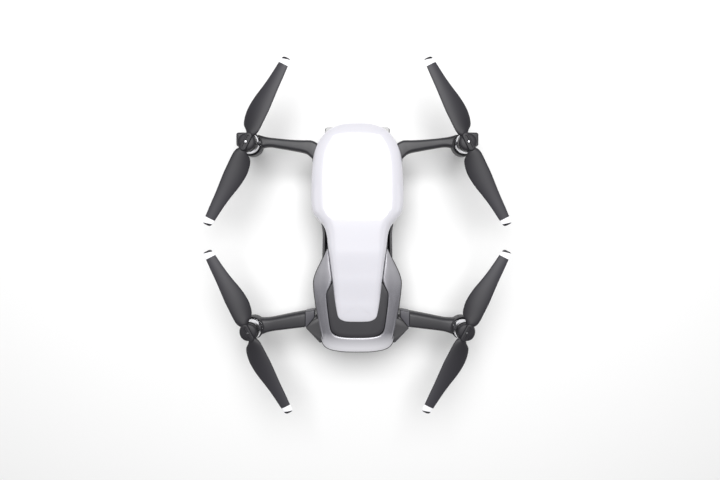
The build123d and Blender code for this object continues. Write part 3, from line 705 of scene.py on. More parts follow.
# ---------------------------------------------------------------- covers
@dataclass
class TopCover:
    """Glossy white dome: wide over the front arms, narrowing to a tongue at the tail."""

    half: tuple[Point2, ...] = (
        (7.0, -84.8), (13.6, -83.5), (19.6, -81.2), (23.4, -78.4), (26.9, -74.2), (29.7, -69.6),
        (32.2, -63.0), (33.4, -56.0), (34.2, -46.0), (34.6, -35.0), (34.6, -26.0), (33.4, -19.0),
        (29.3, -13.2), (25.2, -8.0), (23.2, -2.0), (22.2, 7.0), (20.7, 17.6), (18.9, 32.0),
        (17.1, 47.0), (15.6, 56.0), (14.3, 60.6), (11.5, 62.9), (6.5, 64.0))
    crown: tuple[Point2, ...] = (
        (-86.0, 52.2), (-76.0, 54.6), (-60.0, 56.6), (-40.0, 57.5), (-15.0, 57.6), (10.0, 56.8),
        (30.0, 55.2), (50.0, 52.9), (64.0, 51.2))
    camber: float = 0.0022
    rim_z: float = 46.6
    tail_rim_z: float = 47.6
    wall: float = 1.6
    lip: float = 0.5                # height of the small radius at the rim
    upright: float = 2.4            # height of the side before it rolls over
    front_roll: float = 9.0
    tail_roll: float = 5.2
    steps: int = 9
    side_steps: int = 12
    roof_steps: int = 14

    def crown_z(self, x: float, y: float) -> float:
        """Height of the roof before its edge is rolled over."""
        return along_line(self.crown, y) - self.camber * x * x

    def roll(self, y: float) -> float:
        """Width of the rolled edge: broad at the front, tight on the tongue."""
        return blend_value(self.front_roll, self.tail_roll, (y + 30.0) / 60.0)

    def skin(self, piece: Piece, loop: Sequence[Point2], shrink: float, drop: float) -> list:
        """Adds one side of the shell as rings from its rim to the middle line.

        Args:
            piece: the piece that takes the rings.
            loop: the outline.
            shrink: how far this side lies inside the outline.
            drop: how far it lies below the roof.

        Returns:
            The rings, the rim first.
        """
        edge = inset(loop, shrink)
        rims = [blend_value(self.rim_z, self.tail_rim_z, (y - 20) / 40) for _, y in edge]
        foot = inset(loop, shrink + 0.3)
        rings = [piece.ring((x, y, r) for (x, y), r in zip(foot, rims)),
                 piece.ring((x, y, r + self.lip) for (x, y), r in zip(edge, rims))]
        for k in range(self.side_steps + 1):
            a = pi / 2 * k / self.side_steps
            row = []
            for (x, y), (ex, ey), rim in zip(loop, inset(loop, 1.0), rims):
                go = shrink + (self.roll(y) - shrink) * (1 - cos(a))
                px, py = x + (ex - x) * go, y + (ey - y) * go
                high = self.crown_z(px, py) - drop
                low = min(rim + self.upright, high - 0.8)
                row.append((px, py, low + (high - low) * sin(a) ** 0.85))
            rings.append(piece.ring(row))
        last = [(v.co.x / MM, v.co.y / MM) for v in rings[-1]]
        top, tail = min(y for _, y in last) + 14.0, max(y for _, y in last) - 8.0
        for k in range(1, self.roof_steps + 1):
            t = k / self.roof_steps
            row = []
            for x, y in last:
                mid = min(max(y, top), tail)
                px, py = x * (1 - t), y + (mid - y) * t
                row.append((px, py, self.crown_z(px, py) - drop))
            rings.append(piece.ring(row))
        return rings

    def build(self, finishes: Finishes) -> bpy.types.Object:
        """Builds the shell with its inner face."""
        piece = Piece("top_shell_dome")
        loop = mirrored_loop(self.half, self.steps)
        outer = self.skin(piece, loop, 0.0, 0.0)
        inner = self.skin(piece, loop, self.wall, self.wall)
        piece.strips(outer)
        piece.strips(inner)
        piece.bridge(inner[0], outer[0])
        return piece.finish(finishes["lacquered_white_abs"], "airframe", "top_shell", sharp=50)


@dataclass
class TailTrim:
    """U of metallic grey round the tongue: sides fall outwards, the back falls rearwards."""

    outer: tuple[Point2, ...] = (
        (22.7, 8.9), (25.2, 14.4), (28.0, 20.0), (31.0, 26.2), (32.8, 31.2), (33.4, 35.4),
        (33.0, 41.9), (32.1, 49.6), (31.1, 57.2), (29.7, 67.2), (28.5, 74.9), (27.1, 80.2),
        (24.7, 83.7), (21.4, 85.7), (16.8, 86.9), (9.4, 87.8), (0.0, 88.0))
    inner: tuple[Point2, ...] = (
        (22.2, 8.9), (21.8, 11.5), (21.3, 15.0), (20.7, 20.0), (20.0, 26.0), (19.4, 31.5),
        (20.4, 35.6), (23.3, 42.4), (23.3, 48.7), (22.4, 57.8), (20.9, 68.5), (19.8, 72.0),
        (17.4, 74.5), (14.8, 75.6), (11.0, 76.3), (6.0, 76.7), (0.0, 76.8))
    steps: int = 8
    top_line: tuple[Point2, ...] = ((8.0, 50.2), (34.0, 50.9), (60.0, 50.0), (77.0, 49.0))
    base_z: float = 46.6
    skirt_z: float = 41.4
    rear_skirt_z: float = 44.6
    tip_fall: float = 0.8           # how far the top falls outwards at the front tips
    side_fall: float = 5.6
    rear_fall: float = 2.4
    edge_depth: float = 3.6
    ridge: float = 0.14
    # radius of the black bead that paints the shadow under the trim's outer edge
    seal_r: float = 0.45

    def section(self, a: Point2, b: Point2) -> list[Point3]:
        """Cross-section between an inner point and an outer point.

        Args:
            a: point on the inner edge.
            b: point on the outer edge.

        Returns:
            The closed section, from the inner bottom over the top to the outer bottom.
        """
        top, base = along_line(self.top_line, a[1]), self.base_z
        rear = blend_value(0.0, 1.0, (b[1] - 74.0) / 10.0)
        side = blend_value(self.tip_fall, self.side_fall, (b[1] - 8.0) / 26.0)
        fall = side * (1 - rear) + self.rear_fall * rear
        low = max(self.skirt_z, top - fall - self.edge_depth)
        low = low * (1 - rear) + self.rear_skirt_z * rear
        share = self.ridge * blend_value(0.0, 1.0, (b[1] - 20) / 18)
        rim = top - fall
        ridge_z = top - 0.25 * fall * share
        fold = max(share, 0.12)
        return [(a[0] + (b[0] - a[0]) * t, a[1] + (b[1] - a[1]) * t, z) for t, z in (
            (0.0, base), (0.0, top - 0.35), (0.03, top - 0.1), (0.07, top),
            (fold * 0.9, ridge_z + 0.02), (fold + 0.04, ridge_z - 0.1 * share),
            (0.72, ridge_z + (rim - ridge_z) * 0.52),
            (0.93, rim + 0.5), (0.98, rim + 0.1), (1.0, rim - 0.5), (1.0, low + 0.3), (0.97, low),
            (0.86, low), (0.84, low + 0.5), (0.84, base - 0.3), (0.5, base))]

    def build(self, finishes: Finishes) -> bpy.types.Object:
        """Builds the trim from tip to tip."""
        outer = smooth_loop(self.outer, self.steps, closed=False)
        inner = smooth_loop(self.inner, self.steps, closed=False)
        outer += [(-x, y) for x, y in reversed(outer[:-1])]
        inner += [(-x, y) for x, y in reversed(inner[:-1])]
        piece = Piece("tail_trim_painted")
        sections = [self.section(a, b) for a, b in zip(inner, outer)]
        piece.tube([piece.ring(section) for section in sections])
        # painted shadow: a black bead along the outer edge stands in for the shade under the trim
        self.seal([section[9] for section in sections], finishes)
        return piece.finish(finishes["metallic_grey_paint"], "airframe", "tail_trim", sharp=38)

    def seal(self, line: Sequence[Point3], finishes: Finishes) -> None:
        """Adds a black rubber bead along the trim's outer edge: a dark line that paints the shadow
        under that edge.

        Args:
            line: points of that edge.
            finishes: the finishes to choose from.
        """
        piece = Piece("tail_trim_seal")
        rings = []
        for i, (x, y, z) in enumerate(line):
            ax, ay, _ = line[max(i - 1, 0)]
            bx, by, _ = line[min(i + 1, len(line) - 1)]
            size = hypot(bx - ax, by - ay)
            nx, ny = (by - ay) / size, (ax - bx) / size
            rings.append(piece.ring(
                (x + nx * self.seal_r * (0.2 + cos(a)), y + ny * self.seal_r * (0.2 + cos(a)),
                 z - 0.35 + self.seal_r * sin(a)) for a in (2 * pi * k / 10 for k in range(10))))
        piece.tube(rings)
        piece.finish(finishes["moulded_rubber"], "airframe", slot="rubber")


@dataclass
class TailDeck:
    """Dark satin panel let into the trim round the end of the tongue."""

    half: tuple[Point2, ...] = (
        (7.0, 34.2), (16.0, 34.4), (19.2, 35.0), (21.6, 39.0), (23.2, 43.0), (23.0, 48.7),
        (22.0, 57.8), (20.5, 68.4), (18.8, 72.4), (14.6, 75.1), (9.0, 76.1), (4.0, 76.4))
    top_line: tuple[Point2, ...] = ((34.0, 50.2), (60.0, 49.3), (77.0, 48.4))
    # how far each row lies inside the outline and below the top, from the underside upwards
    rim: tuple[Point2, ...] = (
        (1.0, 3.2), (0.0, 3.0), (0.0, 0.5), (0.25, 0.12), (0.6, 0.0), (3.0, 0.0))
    steps: int = 6

    def build(self, finishes: Finishes) -> bpy.types.Object:
        """Builds the panel as a thin slab with a rolled rim."""
        loop = mirrored_loop(self.half, self.steps)
        piece = Piece("tail_deck_panel")
        rows = []
        for shift, drop in self.rim:
            rows.append(piece.ring((x, y, along_line(self.top_line, y) - drop)
                                   for x, y in inset(loop, shift)))
        piece.tube(rows)
        return piece.finish(finishes["satin_deck_polycarbonate"], "airframe", "tail_deck")


# ---------------------------------------------------------------- repeated details
class Pattern(Enum):
    """How copies are laid out."""

    RING = "ring of copies"
    ROW = "row of copies"


class CopyTree:
    """Geometry Nodes tree that repeats one small template and realizes the copies."""

    def __init__(self, pattern: Pattern) -> None:
        """Builds the tree.

        Args:
            pattern: a ring round an upright axis, or a straight row.
        """
        self.tree = bpy.data.node_groups.new(pattern.value, "GeometryNodeTree")
        face = self.tree.interface
        face.new_socket("Geometry", in_out="OUTPUT", socket_type="NodeSocketGeometry")
        kinds = [("Template", "NodeSocketObject"), ("Count", "NodeSocketInt"),
                 ("Start", "NodeSocketVector"), ("Material", "NodeSocketMaterial")]
        kinds.append(("Radius", "NodeSocketFloat") if pattern is Pattern.RING
                     else ("Step", "NodeSocketVector"))
        self.sockets = {name: face.new_socket(name, in_out="INPUT", socket_type=kind).identifier
                        for name, kind in kinds}
        given = self.put("NodeGroupInput")
        template = self.put("GeometryNodeObjectInfo", Object=given.outputs["Template"])
        if pattern is Pattern.RING:
            spots = self.put("GeometryNodeMeshCircle", Vertices=given.outputs["Count"],
                             Radius=given.outputs["Radius"])
            where = self.put("GeometryNodeInputPosition")
            parts = self.put("ShaderNodeSeparateXYZ", Vector=where.outputs[0])
            angle = self.put("ShaderNodeMath")
            angle.operation = "ARCTAN2"
            self.tree.links.new(parts.outputs["Y"], angle.inputs[0])
            self.tree.links.new(parts.outputs["X"], angle.inputs[1])
            turn = self.put("ShaderNodeCombineXYZ", Z=angle.outputs[0])
        else:
            spots = self.put("GeometryNodeMeshLine", Count=given.outputs["Count"],
                             Offset=given.outputs["Step"])
            turn = self.put("ShaderNodeCombineXYZ")
        placed = self.put("GeometryNodeInstanceOnPoints", Points=spots.outputs[0],
                          Instance=template.outputs["Geometry"], Rotation=turn.outputs[0])
        moved = self.put("GeometryNodeTranslateInstances", Instances=placed.outputs[0],
                         Translation=given.outputs["Start"])
        moved.inputs["Local Space"].default_value = False
        real = self.put("GeometryNodeRealizeInstances", Geometry=moved.outputs[0])
        painted = self.put("GeometryNodeSetMaterial", Geometry=real.outputs[0],
                           Material=given.outputs["Material"])
        self.put("NodeGroupOutput", Geometry=painted.outputs[0])

    def put(self, kind: str, **links: bpy.types.NodeSocket) -> bpy.types.Node:
        """Adds a node and its incoming links."""
        node = self.tree.nodes.new(kind)
        for name, output in links.items():
            self.tree.links.new(output, node.inputs[name])
        return node

    def apply(self, name: str, template: bpy.types.Object, values: dict,
              material: bpy.types.Material) -> bpy.types.Object:
        """Makes the copies as a plain mesh.

        Args:
            name: the new object's name.
            template: the object that is repeated; it is deleted afterwards.
            values: the tree's named inputs.
            material: the copies' finish.

        Returns:
            The object, not yet riding on a body.
        """
        host = link_object(name, bpy.data.meshes.new(name))
        modifier = host.modifiers.new("copies", "NODES")
        modifier.node_group = self.tree
        for key, value in {**values, "Template": template, "Material": material}.items():
            modifier[self.sockets[key]] = value
        bake_modifiers(host)
        bpy.data.objects.remove(template)
        dress(host, material)
        return host


# ---------------------------------------------------------------- arms
@dataclass
class Beam:
    """Hollow moulded arm beam, drawn as rounded sections across the arm from root to motor."""

    stations: tuple[Row, ...]
    corner_front: float = 2.6
    corner_rear: float = 2.0
    corner_low: float = 3.0
    corner_steps: int = 5
    between: int = 5

    def section(self, station: Sequence[float], sign: int) -> list[Point3]:
        """One rounded section.

        Args:
            station: x, nose-side y, tail-side y, bottom z and top z.
            sign: side of the craft.

        Returns:
            The section's points.
        """
        x, y0, y1, z0, z1 = station
        limit = min((y1 - y0) / 2, (z1 - z0) / 2) - 0.2
        corners = ((y1, z1, -1, -1, self.corner_rear, 0), (y0, z1, 1, -1, self.corner_front, 90),
                   (y0, z0, 1, 1, self.corner_low, 180), (y1, z0, -1, 1, self.corner_low, 270))
        points = []
        for y, z, dy, dz, radius, start in corners:
            r = min(radius, limit)
            points += [(sign * x, *spot)
                       for spot in arc((y + dy * r, z + dz * r), r, start, 90, self.corner_steps)]
        return points

    def add(self, piece: Piece, sign: int) -> None:
        """Adds the beam to a piece."""
        rows = smooth_loop(self.stations, self.between, closed=False)
        piece.tube([piece.ring(self.section(row, sign)) for row in rows])


@dataclass
class MotorPod:
    """Cup at the end of an arm that the motor sits in."""

    radius: float = 8.8
    well: float = 8.2
    bottom: float = 33.0
    floor: float = 38.0
    top: float = 46.0

    def add(self, piece: Piece, x: float, y: float) -> None:
        """Adds the cup to a piece."""
        r, w = self.radius, self.well
        profile = [(0, self.bottom), (r - 2.6, self.bottom), (r - 1.2, self.bottom + 0.35),
                   (r - 0.35, self.bottom + 1.2), (r, self.bottom + 2.6), (r, self.top - 0.5),
                   (r - 0.12, self.top - 0.15), (r - 0.3, self.top), (w + 0.15, self.top),
                   (w, self.top - 0.2), (w, self.floor), (0, self.floor)]
        piece.lathe(profile, (x, y, 0.0), 72)


class Arms:
    """Both front arms with their leg knuckles and both rear arms with their hinge roots."""

    motor_x: float = 80.4
    motor_y: float = 69.8
    pivot: Point2 = (26.5, -58.0)
    knuckle_r: float = 7.5
    pivot_hole_r: float = 2.28
    bottom_z: float = 33.0
    top_z: float = 45.0
    leg_eye: Point3 = (87.0, -73.8, 28.5)
    clevis_half: float = 5.3
    clevis_gap_half: float = 3.56
    front_beam = Beam((
        (26.2, -66.6, -53.6, 33.0, 45.0), (30.0, -70.6, -55.4, 33.0, 45.0),
        (34.0, -72.8, -59.0, 33.0, 45.0), (37.5, -73.2, -62.2, 33.1, 44.9),
        (41.0, -73.2, -63.8, 33.3, 44.8), (48.0, -73.5, -65.2, 33.8, 44.4),
        (58.0, -74.4, -66.9, 34.6, 43.8), (66.0, -75.3, -68.1, 35.0, 43.6),
        (71.0, -76.2, -67.6, 34.8, 43.8), (75.0, -77.4, -65.4, 34.2, 44.4)), 2.4, 2.6, 3.2)
    rear_beam = Beam((
        (40.2, 57.4, 69.4, 33.0, 45.0), (44.0, 58.0, 69.9, 33.1, 45.0),
        (52.0, 59.5, 70.9, 33.5, 44.8), (60.0, 61.1, 71.9, 34.0, 44.6),
        (67.0, 62.4, 73.0, 34.4, 44.4), (72.0, 62.8, 74.6, 34.2, 44.5),
        (76.0, 62.6, 76.6, 33.8, 44.8)), 3.4, 1.8, 3.2)
    rear_root = Beam((
        (32.9, 56.2, 61.4, 31.6, 44.5), (33.3, 56.2, 62.0, 31.2, 44.8),
        (34.6, 56.4, 63.6, 30.8, 44.9), (37.0, 56.8, 66.6, 30.8, 44.9),
        (39.0, 57.1, 69.2, 31.2, 44.9), (39.6, 57.2, 69.3, 31.6, 44.9),
        (39.9, 57.4, 69.1, 32.4, 44.6)), 0.9, 0.7, 2.4)

    def build(self, finishes: Finishes) -> None:
        """Builds all four arms."""
        for side in Side:
            self.front(side, finishes)
            self.rear(side, finishes)

    def front(self, side: Side, finishes: Finishes) -> None:
        """Builds one front arm: knuckle, beam, cup and leg clevis."""
        sign, arm = side.value, f"front_arm_{side.word}"
        piece = Piece(f"{arm}_casting")
        r, hole, low, high = self.knuckle_r, self.pivot_hole_r, self.bottom_z, self.top_z
        piece.lathe([(hole, low), (r - 1, low), (r, low + 1), (r, high - 1), (r - 1, high),
                     (hole, high), (hole, low)], (sign * self.pivot[0], self.pivot[1], 0.0))
        self.front_beam.add(piece, sign)
        MotorPod().add(piece, sign * self.motor_x, -self.motor_y)
        x, y, z = self.leg_eye
        wide, gap = self.clevis_half, self.clevis_gap_half
        self.block(piece, sign, (x - 6.5, y - wide, 32.8), (x + 4.8, y + wide, 43.4), 1.8)
        for y0, y1 in ((y - wide, y - gap), (y + gap, y + wide)):
            self.block(piece, sign, (x - 4.6, y0, z - 3.3), (x + 4.4, y1, 35.0), 0.8)
        piece.finish(finishes["satin_painted_arm"], arm, arm)

    def rear(self, side: Side, finishes: Finishes) -> None:
        """Builds one rear arm: hinge root, beam and cup."""
        sign, arm = side.value, f"rear_arm_{side.word}"
        piece = Piece(f"{arm}_casting")
        self.rear_beam.add(piece, sign)
        MotorPod().add(piece, sign * self.motor_x, self.motor_y)
        piece.finish(finishes["satin_painted_arm"], arm, arm)
        # the hinge root's lighter plastic is a painted highlight for the lit facet at the arm's
        # root
        root = Piece(f"{arm}_hinge_root")
        self.rear_root.add(root, sign)
        root.finish(finishes["hinge_plastic"], arm, slot="arm_shell")

    @staticmethod
    def block(piece: Piece, sign: int, low: Point3, high: Point3, radius: float) -> None:
        """Adds a rounded block on the wanted side."""
        if sign < 0:
            low, high = (-high[0], low[1], low[2]), (-low[0], high[1], high[2])
        piece.rounded_block(low, high, radius)


# ---------------------------------------------------------------- motors and propellers
@dataclass
class OnMotorAxis:
    """Something that is centred on the axis of one motor."""

    end: End
    side: Side

    @property
    def tag(self) -> str:
        """The motor's name as the frame's nodes use it."""
        return f"{self.end.word}_{self.side.word}"

    @property
    def centre(self) -> Point3:
        """The point on the ground below the motor."""
        return (self.side.value * Arms.motor_x, self.end.value * Arms.motor_y, 0.0)


class Motor(OnMotorAxis):
    """Outrunner motor: polished bell with a knurled belt, black lock, core and windings."""

    # turned profiles, as radius and height
    bell = ((1.5, 39.0), (1.5, 55.6), (6.8, 55.6), (6.8, 44.6), (7.35, 44.6), (7.55, 44.8),
            (7.55, 46.6), (7.7, 46.8), (7.7, 48.0), (7.7, 54.6), (7.62, 55.0), (7.15, 55.9),
            (7.0, 56.6), (6.85, 56.9), (6.6, 57.0), (1.2, 57.0), (0.0, 57.0))
    shaft_end = ((0.0, 39.0), (1.5, 39.0))
    lock = ((0.0, 57.0), (6.9, 57.0), (7.25, 57.25), (7.25, 58.0), (6.9, 58.4), (2.4, 58.5),
            (2.4, 61.6), (2.0, 62.0), (0.0, 62.0))
    core = ((1.55, 38.0), (3.0, 38.0), (3.0, 46.0), (3.6, 46.2), (3.6, 52.3), (3.0, 52.5),
            (3.0, 54.0), (1.55, 54.0), (1.55, 38.0))

    def build(self, finishes: Finishes, ring: CopyTree) -> None:
        """Builds the turning half of the motor, its core and its windings."""
        body, arm = f"rotor_{self.tag}", f"{self.end.word}_arm_{self.side.word}"
        highlight_colour = finishes["polished_bell_aluminium"]
        bell = Piece(f"motor_bell_{self.tag}_turned")
        bell.lathe(self.bell, self.centre, 96)
        bell.lathe(self.shaft_end, self.centre, 96)
        bell.finish(highlight_colour, body, f"motor_bell_{self.tag}", sharp=28)
        rib = Piece("bell_rib")
        rib.rounded_block((-0.16, -0.2, -0.9), (0.16, 0.2, 0.9), 0.12, 2)
        ribs = self.repeat(ring, f"motor_bell_{self.tag}_knurl", rib, (40, 7.62, 45.8), highlight_colour)
        settle(ribs, body)
        lock = Piece(f"prop_lock_{self.tag}")
        lock.lathe(self.lock, self.centre)
        lock.finish(finishes["moulded_lock"], body, f"prop_mount_{self.tag}")
        core = Piece(f"motor_stator_{self.tag}_core")
        core.lathe(self.core, self.centre, 40)
        core.finish(finishes["black_oxide_steel"], arm, f"motor_stator_{self.tag}")
        coil = Piece("coil")
        coil.rounded_block((-1.15, -0.85, -3.1), (1.15, 0.85, 3.1), 0.6, 3)
        coils = self.repeat(ring, f"motor_windings_{self.tag}", coil, (9, 5.0, 49.2),
                            finishes["enamelled_copper"])
        settle(coils, arm)

    def repeat(self, ring: CopyTree, name: str, template: Piece, layout: tuple[int, float, float],
               material: bpy.types.Material) -> bpy.types.Object:
        """Sets copies of a template round the motor's axis.

        Args:
            ring: the tree that makes a ring of copies.
            name: the new object's name.
            template: the piece that is repeated.
            layout: the count, the ring's radius and its height.
            material: the copies' finish.

        Returns:
            The object, not yet riding on a body.
        """
        count, radius, height = layout
        start = (self.centre[0] * MM, self.centre[1] * MM, height * MM)
        return ring.apply(name, template.as_template(),
                          {"Count": count, "Radius": radius * MM, "Start": start}, material)


@dataclass
class Propeller(OnMotorAxis):
    """Two-blade propeller: broad at a fifth of the radius, slim white tip."""

    angle: float = 27.3
    blade_z: float = 61.0
    # distance out, bulged side, straight side, pitch in degrees, thickness
    stations: tuple[Row, ...] = (
        (5.5, 2.6, 2.6, 4.0, 2.3), (7.6, 4.6, 4.0, 10.0, 2.1), (9.6, 7.4, 4.7, 14.0, 1.8),
        (12.0, 9.0, 5.0, 15.5, 1.6), (16.0, 10.2, 5.0, 15.0, 1.45), (21.0, 10.8, 4.9, 13.6, 1.35),
        (27.0, 10.5, 4.75, 12.0, 1.25), (33.0, 9.6, 4.3, 10.6, 1.15), (39.0, 8.3, 3.8, 9.4, 1.05),
        (46.0, 7.0, 3.3, 8.2, 0.95), (53.0, 6.05, 2.95, 7.2, 0.88), (60.0, 5.3, 2.5, 6.4, 0.8),
        (64.5, 4.75, 2.25, 6.0, 0.72))
    tip: tuple[Row, ...] = (
        (66.2, 4.3, 2.0, 6.0, 0.6), (66.9, 3.6, 1.5, 6.0, 0.5), (67.2, 2.6, 0.8, 6.0, 0.4))
    around: int = 12
    # turned profiles of the hub, as radius and height
    disc: tuple[Point2, ...] = (
        (0.0, 58.8), (6.2, 58.8), (6.5, 59.1), (6.5, 61.0), (6.35, 61.6), (5.9, 62.1), (4.4, 62.5),
        (2.0, 62.7), (0.0, 62.7))
    button: tuple[Point2, ...] = (
        (0.0, 62.8), (1.1, 62.8), (1.1, 63.5), (0.9, 63.7), (0.0, 63.7))
    shaft_end: tuple[Point2, ...] = (
        (0.0, 63.6), (0.75, 63.6), (0.75, 63.9), (0.6, 64.0), (0.0, 64.0))
    # the raised bar and its slot: half length, half width and height of each outline
    bar: tuple[Point3, ...] = (
        (7.3, 2.55, 60.2), (7.3, 2.55, 62.6), (7.2, 2.45, 63.3), (6.9, 2.2, 63.75),
        (6.5, 1.9, 63.9), (5.2, 0.95, 63.9), (5.1, 0.85, 63.75), (5.05, 0.8, 62.85))

    def hand(self) -> int:
        """Plus one where the bulged side of each blade lies anticlockwise of it."""
        return 1 if (self.end is End.FRONT) == (self.side is Side.LEFT) else -1

    def direction(self) -> float:
        """Direction of the blade that points away from the craft's middle, in radians."""
        lean = radians(self.angle)
        return atan2(self.end.value * cos(lean), -sin(lean) * self.side.value)

    def airfoil(self, station: Sequence[float]) -> list[Point3]:
        """Section of the blade that runs along +X from the hub."""
        r, bulge, straight, pitch, thick = station
        chord = bulge + straight
        points = []
        for k in range(2 * self.around):
            upper = k < self.around
            t = k / self.around if upper else 2 - k / self.around
            u = (1 - cos(pi * t)) / 2
            camber = 0.055 * chord * 4 * u * (1 - u)
            belly = 0.98 if upper else 0.7
            half = thick * 1.35 * sqrt(max(u, 0.0)) * (1 - u) ** 0.62 * belly + 0.07
            across = -straight + chord * u
            high = camber + (half if upper else -half)
            a = radians(pitch)
            points.append((r, self.hand() * (across * cos(a) + high * sin(a)),
                           self.blade_z - across * sin(a) + high * cos(a)))
        return points

    def place(self, piece: Piece, start: int, turn: float) -> None:
        """Turns the vertices made since a count about the hub and moves them to the motor."""
        piece.mesh.verts.ensure_lookup_table()
        spin = Matrix.Rotation(turn, 4, "Z")
        shift = Vector(self.centre) * MM
        for vert in piece.mesh.verts[start:]:
            vert.co = spin @ vert.co + shift

    def blade(self, piece: Piece, turn: float) -> None:
        """Adds one blade."""
        start = len(piece.mesh.verts)
        rows = smooth_loop(self.stations, 5, closed=False) + list(self.tip)
        rings = []
        for row in rows:
            points = self.airfoil(row)
            ring = piece.ring(points)
            for vert, point in zip(ring, points):
                piece.uv[vert] = (point[0] * MM, point[1] * self.hand() * MM)
            rings.append(ring)
        piece.tube(rings)
        self.place(piece, start, turn)

    @staticmethod
    def stadium(half_long: float, half_wide: float, steps: int = 10) -> list[Point2]:
        """Outline with two round ends along X."""
        reach = half_long - half_wide
        return (arc((reach, 0.0), half_wide, -90, 180, steps)
                + arc((-reach, 0.0), half_wide, 90, 180, steps))

    def hub(self, piece: Piece, turn: float) -> None:
        """Adds the hub disc and its raised bar with a slot along it."""
        start = len(piece.mesh.verts)
        middle = (0.0, 0.0, 0.0)
        piece.lathe(self.disc, middle, 72)
        piece.tube([piece.level(self.stadium(a, b), z) for a, b, z in self.bar])
        piece.lathe(self.button, middle, 24)
        self.place(piece, start, turn)

    def build(self, finishes: Finishes) -> None:
        """Builds the propeller with its shaft end."""
        body = f"rotor_{self.tag}"
        piece = Piece(f"propeller_{self.tag}_moulded")
        for turn in (self.direction(), self.direction() + pi):
            self.blade(piece, turn)
        self.hub(piece, self.direction())
        piece.finish(finishes["glass_filled_nylon_blade"], body, f"propeller_{self.tag}", sharp=40)
        dot = Piece(f"shaft_end_{self.tag}")
        dot.lathe(self.shaft_end, self.centre, 24)
        dot.finish(finishes["ground_pin_steel"], body, slot="steel_pin")


# ---------------------------------------------------------------- body, gimbal, legs, small pieces
class Fittings:
    """Every part whose frame shape is kept: softened edges, right finishes, screws and ribs."""

    # for each finish, its frame nodes and the rounding of their edges in millimetres
    kept: dict[str, dict[str, float]] = {
        "moulded_dark_polycarbonate": {"lower_shell": 0.3, "nose_frame": 0.3,
                                       "rear_hinge_housings": 0.6, "rear_feet": 0.5},
        "moulded_rubber": {"rear_foot_pads": 0.4, "gimbal_dampers": 0.2},
        "die_cast_magnesium": {"hinge_frame": 0.3, "hinge_brace": 0.3},
        "tinted_window": {"sensor_windows": 0.4},
        "lamp_plastic": {"status_light": 0.12, "charge_lights": 0.08},
        "black_oxide_steel": {"body_screws": 0.15},
        "ground_pin_steel": {"front_hinge_pins": 0.2, "rear_hinge_pins": 0.2},
        "solder_mask": {"main_board": 0.1},
        "extruded_aluminium": {"heat_sink": 0.1},
        "fan_plastic": {"fan_housing": 0.2, "fan_rotor": 0.1},
        "fired_ceramic": {"satellite_receiver": 0.25},
        "battery_polycarbonate": {"battery_case": 0.6},
        "pouch_foil": {"battery_cells": 0.6},
        "button_plastic": {"power_button": 0.3},
        "anodised_gimbal": {"gimbal_damper_plate": 0.2, "gimbal_yaw_arm": 0.3,
                            "gimbal_roll_arm": 0.3},
        "camera_satin_paint": {"camera_body": 0.15},
    }
    # the same for nodes that come in a left and a right one
    paired: dict[str, dict[str, float]] = {
        "button_plastic": {"battery_latch": 0.3},
        "moulded_rubber": {"port_cover": 0.15, "leg_pad": 0.35},
        "ground_pin_steel": {"leg_pin": 0.15},
        "satin_painted_arm": {"front_leg": 0.7},
    }

    def build(self, finishes: Finishes, row: CopyTree) -> None:
        """Dresses all kept parts and adds their small details."""
        for finish, nodes in self.kept.items():
            for node, width in nodes.items():
                soften(node, finishes[finish], width)
        for finish, stems in self.paired.items():
            for stem, width in stems.items():
                for side in Side:
                    soften(f"{stem}_{side.word}", finishes[finish], width)
        self.lens(finishes)
        self.belly_ribs(finishes, row)

    def lens(self, finishes: Finishes) -> None:
        """Camera lens: stepped black rings round a domed front glass."""
        low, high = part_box("camera_lens")
        middle = [(low[i] + high[i]) / 2 / MM for i in range(3)]
        front = low[1] / MM
        glass = Piece("camera_lens_glass")
        glass.lathe([(0.0, 3.2), (3.4, 3.2), (3.4, 0.9), (3.0, 0.9), (2.9, 1.4), (2.3, 1.5),
                     (2.2, 1.1), (1.8, 0.8), (1.2, 0.6), (0.0, 0.5)],
                    (middle[0], front, middle[2]), 48, "Y")
        glass.finish(finishes["coated_lens"], "camera", "camera_lens")

    def belly_ribs(self, finishes: Finishes, row: CopyTree) -> None:
        """Grip ribs across the back of the battery."""
        low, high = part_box("battery_case")
        rib = Piece("battery_rib")
        rib.rounded_block((-9.0, -0.35, -0.25), (9.0, 0.35, 0.25), 0.22, 2)
        ribs = row.apply("battery_grip_ribs", rib.as_template(), {
            "Count": 6, "Start": (0.0, high[1] - 7.5 * MM, low[2]), "Step": (0.0, 1.2 * MM, 0.0)},
            finishes["battery_polycarbonate"])
        settle(ribs, "airframe")


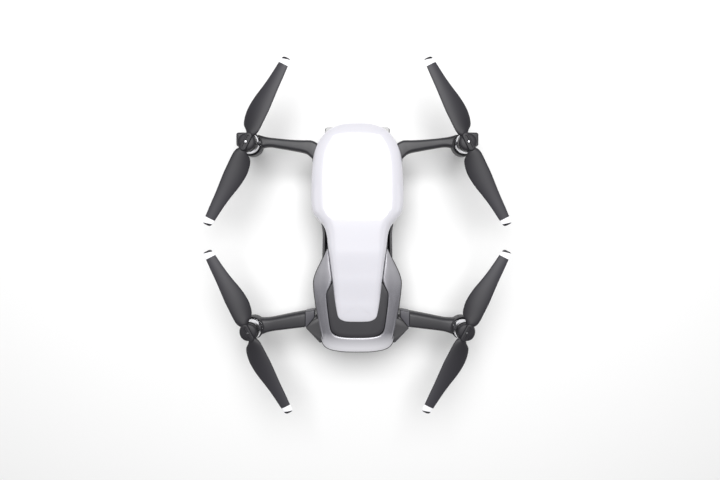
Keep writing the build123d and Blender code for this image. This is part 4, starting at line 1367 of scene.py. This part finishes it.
# ---------------------------------------------------------------- studio
@dataclass
class Studio:
    """Pale sweep of floor, soft lights and the overhead camera."""

    aim: Point3 = (-2.0, 1.5, 61.0)
    distance: float = 423.6
    lean: float = 3.0
    lens_mm: float = 28.94
    floor_half: float = 3000.0

    def build(self) -> None:
        """Builds floor, lights, world and camera."""
        self.floor()
        self.lights()
        self.camera()

    def floor(self) -> None:
        """Large matt white floor."""
        half = self.floor_half
        piece = Piece("studio_floor")
        piece.cap(piece.level([(-half, -half), (half, -half), (half, half), (-half, half)], 0.0))
        floor = piece.as_object()
        paper = Shading("studio_paper", "#ececec", {"Roughness": 0.9, "Specular IOR Level": 0.1})
        floor.data.materials.append(paper.material)

    def lights(self) -> None:
        """Broad overhead softbox ahead of the nose, a fill and a bright surround."""
        world = bpy.data.worlds.new("studio_surround")
        world.use_nodes = True
        background = world.node_tree.nodes["Background"]
        background.inputs["Color"].default_value = (1.0, 1.0, 1.0, 1.0)
        background.inputs["Strength"].default_value = 0.2
        bpy.context.scene.world = world
        bpy.context.scene.view_settings.view_transform = "Standard"
        self.softbox("key_softbox", (0.0, -260.0, 900.0), (0.0, 70.0, 0.0), 640.0, 11.4)
        self.softbox("left_strip", (700.0, 100.0, 420.0), (0.0, 0.0, 40.0), 380.0, 0.4)
        self.softbox("right_strip", (-700.0, 100.0, 420.0), (0.0, 0.0, 40.0), 380.0, 0.4)

    def softbox(self, name: str, at: Point3, aim: Point3, size_mm: float, watts: float) -> None:
        """Adds one square area light.

        Args:
            name: its name.
            at: where it stands, in millimetres.
            aim: the point it faces.
            size_mm: its width.
            watts: its power.
        """
        lamp = bpy.data.lights.new(name, "AREA")
        lamp.size = size_mm * MM
        lamp.energy = watts
        obj = link_object(name, lamp)
        obj.location = Vector(at) * MM
        obj.rotation_euler = (Vector(aim) - Vector(at)).to_track_quat("-Z", "Y").to_euler()

    def camera(self) -> None:
        """Camera above the craft, leaning towards the nose, which is at the top of the view."""
        data = bpy.data.cameras.new("overhead_camera")
        data.lens = self.lens_mm
        data.clip_start = 0.01
        obj = link_object("overhead_camera", data)
        lean = radians(self.lean)
        away = Vector((0.0, -sin(lean), cos(lean))) * self.distance
        obj.location = (Vector(self.aim) + away) * MM
        obj.rotation_euler = (-lean, 0.0, pi)
        bpy.context.scene.camera = obj


def main() -> None:
    """Builds the whole craft in order."""
    logging.basicConfig(level=logging.INFO, format="%(name)s: %(message)s")
    Studio().build()
    finishes = Finishes()
    ring, row = CopyTree(Pattern.RING), CopyTree(Pattern.ROW)
    TopCover().build(finishes)
    TailTrim().build(finishes)
    TailDeck().build(finishes)
    Arms().build(finishes)
    for side in Side:
        for end in End:
            Motor(end, side).build(finishes, ring)
            Propeller(end, side).build(finishes)
    Fittings().build(finishes, row)


if __name__ == "__main__":
    main()
